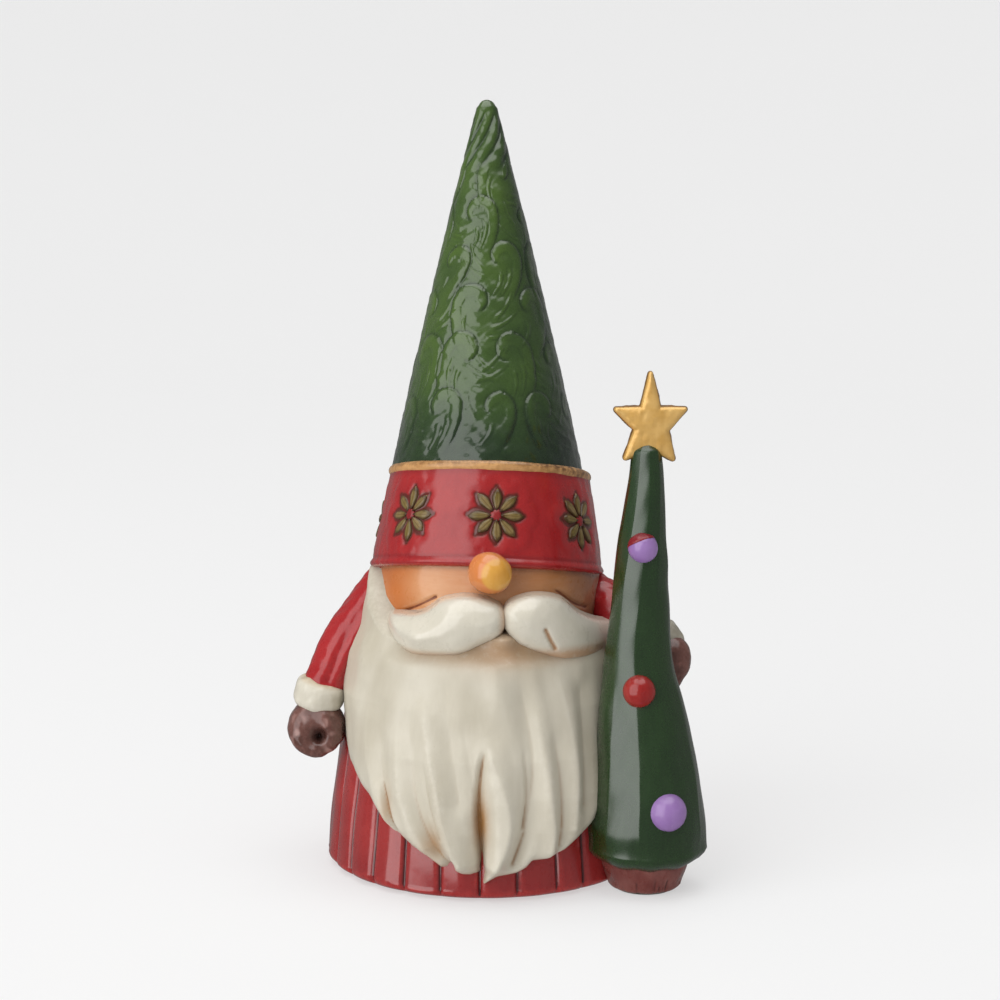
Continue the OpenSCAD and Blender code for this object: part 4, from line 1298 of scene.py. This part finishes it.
def floor():
    """A round studio floor that rises gently into a pale backdrop on every side."""
    profile = [(r, 0.0) for r in (30, 60, 100, 160, 260, 420, 700, 1000, 1300)]
    profile += [(1300 + 150 * i, 4.6 * i ** 1.9) for i in range(1, 18)]
    rings = np.concatenate([turned(r, h, circle(96)) for r, h in profile])
    points, faces = capped(rings, (0, 0, 0))
    mesh = bpy.data.meshes.new("backdrop")
    mesh.from_pydata((points * MM).tolist(), [], [tuple(reversed(f)) for f in faces])
    mesh.shade_smooth()
    p = Paint("backdrop_paper")
    p.feed(p.shader.inputs["Base Color"], p.mix(p.noise(400, 2), srgb(158, 158, 158), srgb(160, 160, 160)))
    p.preset(Roughness=0.8, Specular_IOR_Level=0.15, Emission_Color=(1, 1, 1, 1))
    away = p.node("ShaderNodeVectorMath", operation="LENGTH")
    p.feed(away.inputs[0], p.place)
    p.feed(p.shader.inputs["Emission Strength"], p.span(away.outputs["Value"], 200, 1100, 0.525, 0.53))
    mesh.materials.append(p.material)
    made = bpy.data.objects.new("backdrop", mesh)
    made.visible_glossy = False
    bpy.context.scene.collection.objects.link(made)


def softbox(name, azimuth, elevation, distance, width, height, power):
    """A rectangular light aimed at the middle of the figure, in degrees, metres and watts."""
    data = bpy.data.lights.new(name, "AREA")
    data.shape = "RECTANGLE"
    data.size, data.size_y = width, height
    data.energy = power
    made = bpy.data.objects.new(name, data)
    a, e = math.radians(azimuth), math.radians(elevation)
    aim = Vector((0, 0, 0.07))
    toward = Vector((math.sin(a) * math.cos(e), -math.cos(a) * math.cos(e), math.sin(e)))
    made.location = aim + distance * toward
    made.rotation_euler = (aim - made.location).to_track_quat("-Z", "Y").to_euler()
    bpy.context.scene.collection.objects.link(made)


def lighting():
    """A tall softbox at the front left and a broad overhead scrim, in an otherwise dim studio."""
    softbox("key", -46, 19, 1.0, 1.05, 1.4, 10.2)
    world = bpy.data.worlds.new("studio")
    bpy.context.scene.world = world
    world.use_nodes = True
    tree = world.node_tree
    way = tree.nodes.new("ShaderNodeTexCoord")
    facing = tree.nodes.new("ShaderNodeVectorMath")
    facing.operation = "DOT_PRODUCT"
    facing.inputs[1].default_value = (0, 0, 1)
    tree.links.new(way.outputs["Generated"], facing.inputs[0])
    scrim = tree.nodes.new("ShaderNodeMapRange")
    scrim.interpolation_type = "SMOOTHSTEP"
    tree.links.new(facing.outputs["Value"], scrim.inputs["Value"])
    for socket, number in zip(("From Min", "From Max", "To Min", "To Max"), (0.80, 0.90, 0.20, 2.45)):
        scrim.inputs[socket].default_value = number
    tree.links.new(scrim.outputs["Result"], tree.nodes["Background"].inputs["Strength"])
    tree.nodes["Background"].inputs["Color"].default_value = (1.0, 1.0, 1.0, 1)
    bpy.context.scene.view_settings.view_transform = "Standard"


def camera():
    """The photo's view: straight in front, a little above the middle and looking slightly down."""
    data = bpy.data.cameras.new("camera")
    data.lens, data.sensor_width = 72, 36
    made = bpy.data.objects.new("camera", data)
    made.location = (0.00266, -0.3939, 0.12324)
    look_down = 7.41
    made.rotation_euler = (math.radians(90 - look_down), 0, 0)
    bpy.context.scene.collection.objects.link(made)
    bpy.context.scene.camera = made


camera()
lighting()
floor()
inner_parts()
robe()
beard()
head()
nose()
moustache_right()
moustache_left()
band()
petals()
flower_centres()
cord()
hat()
sleeves()
mitten_right()
mitten_left()
tree()
pot()
star()
beads()
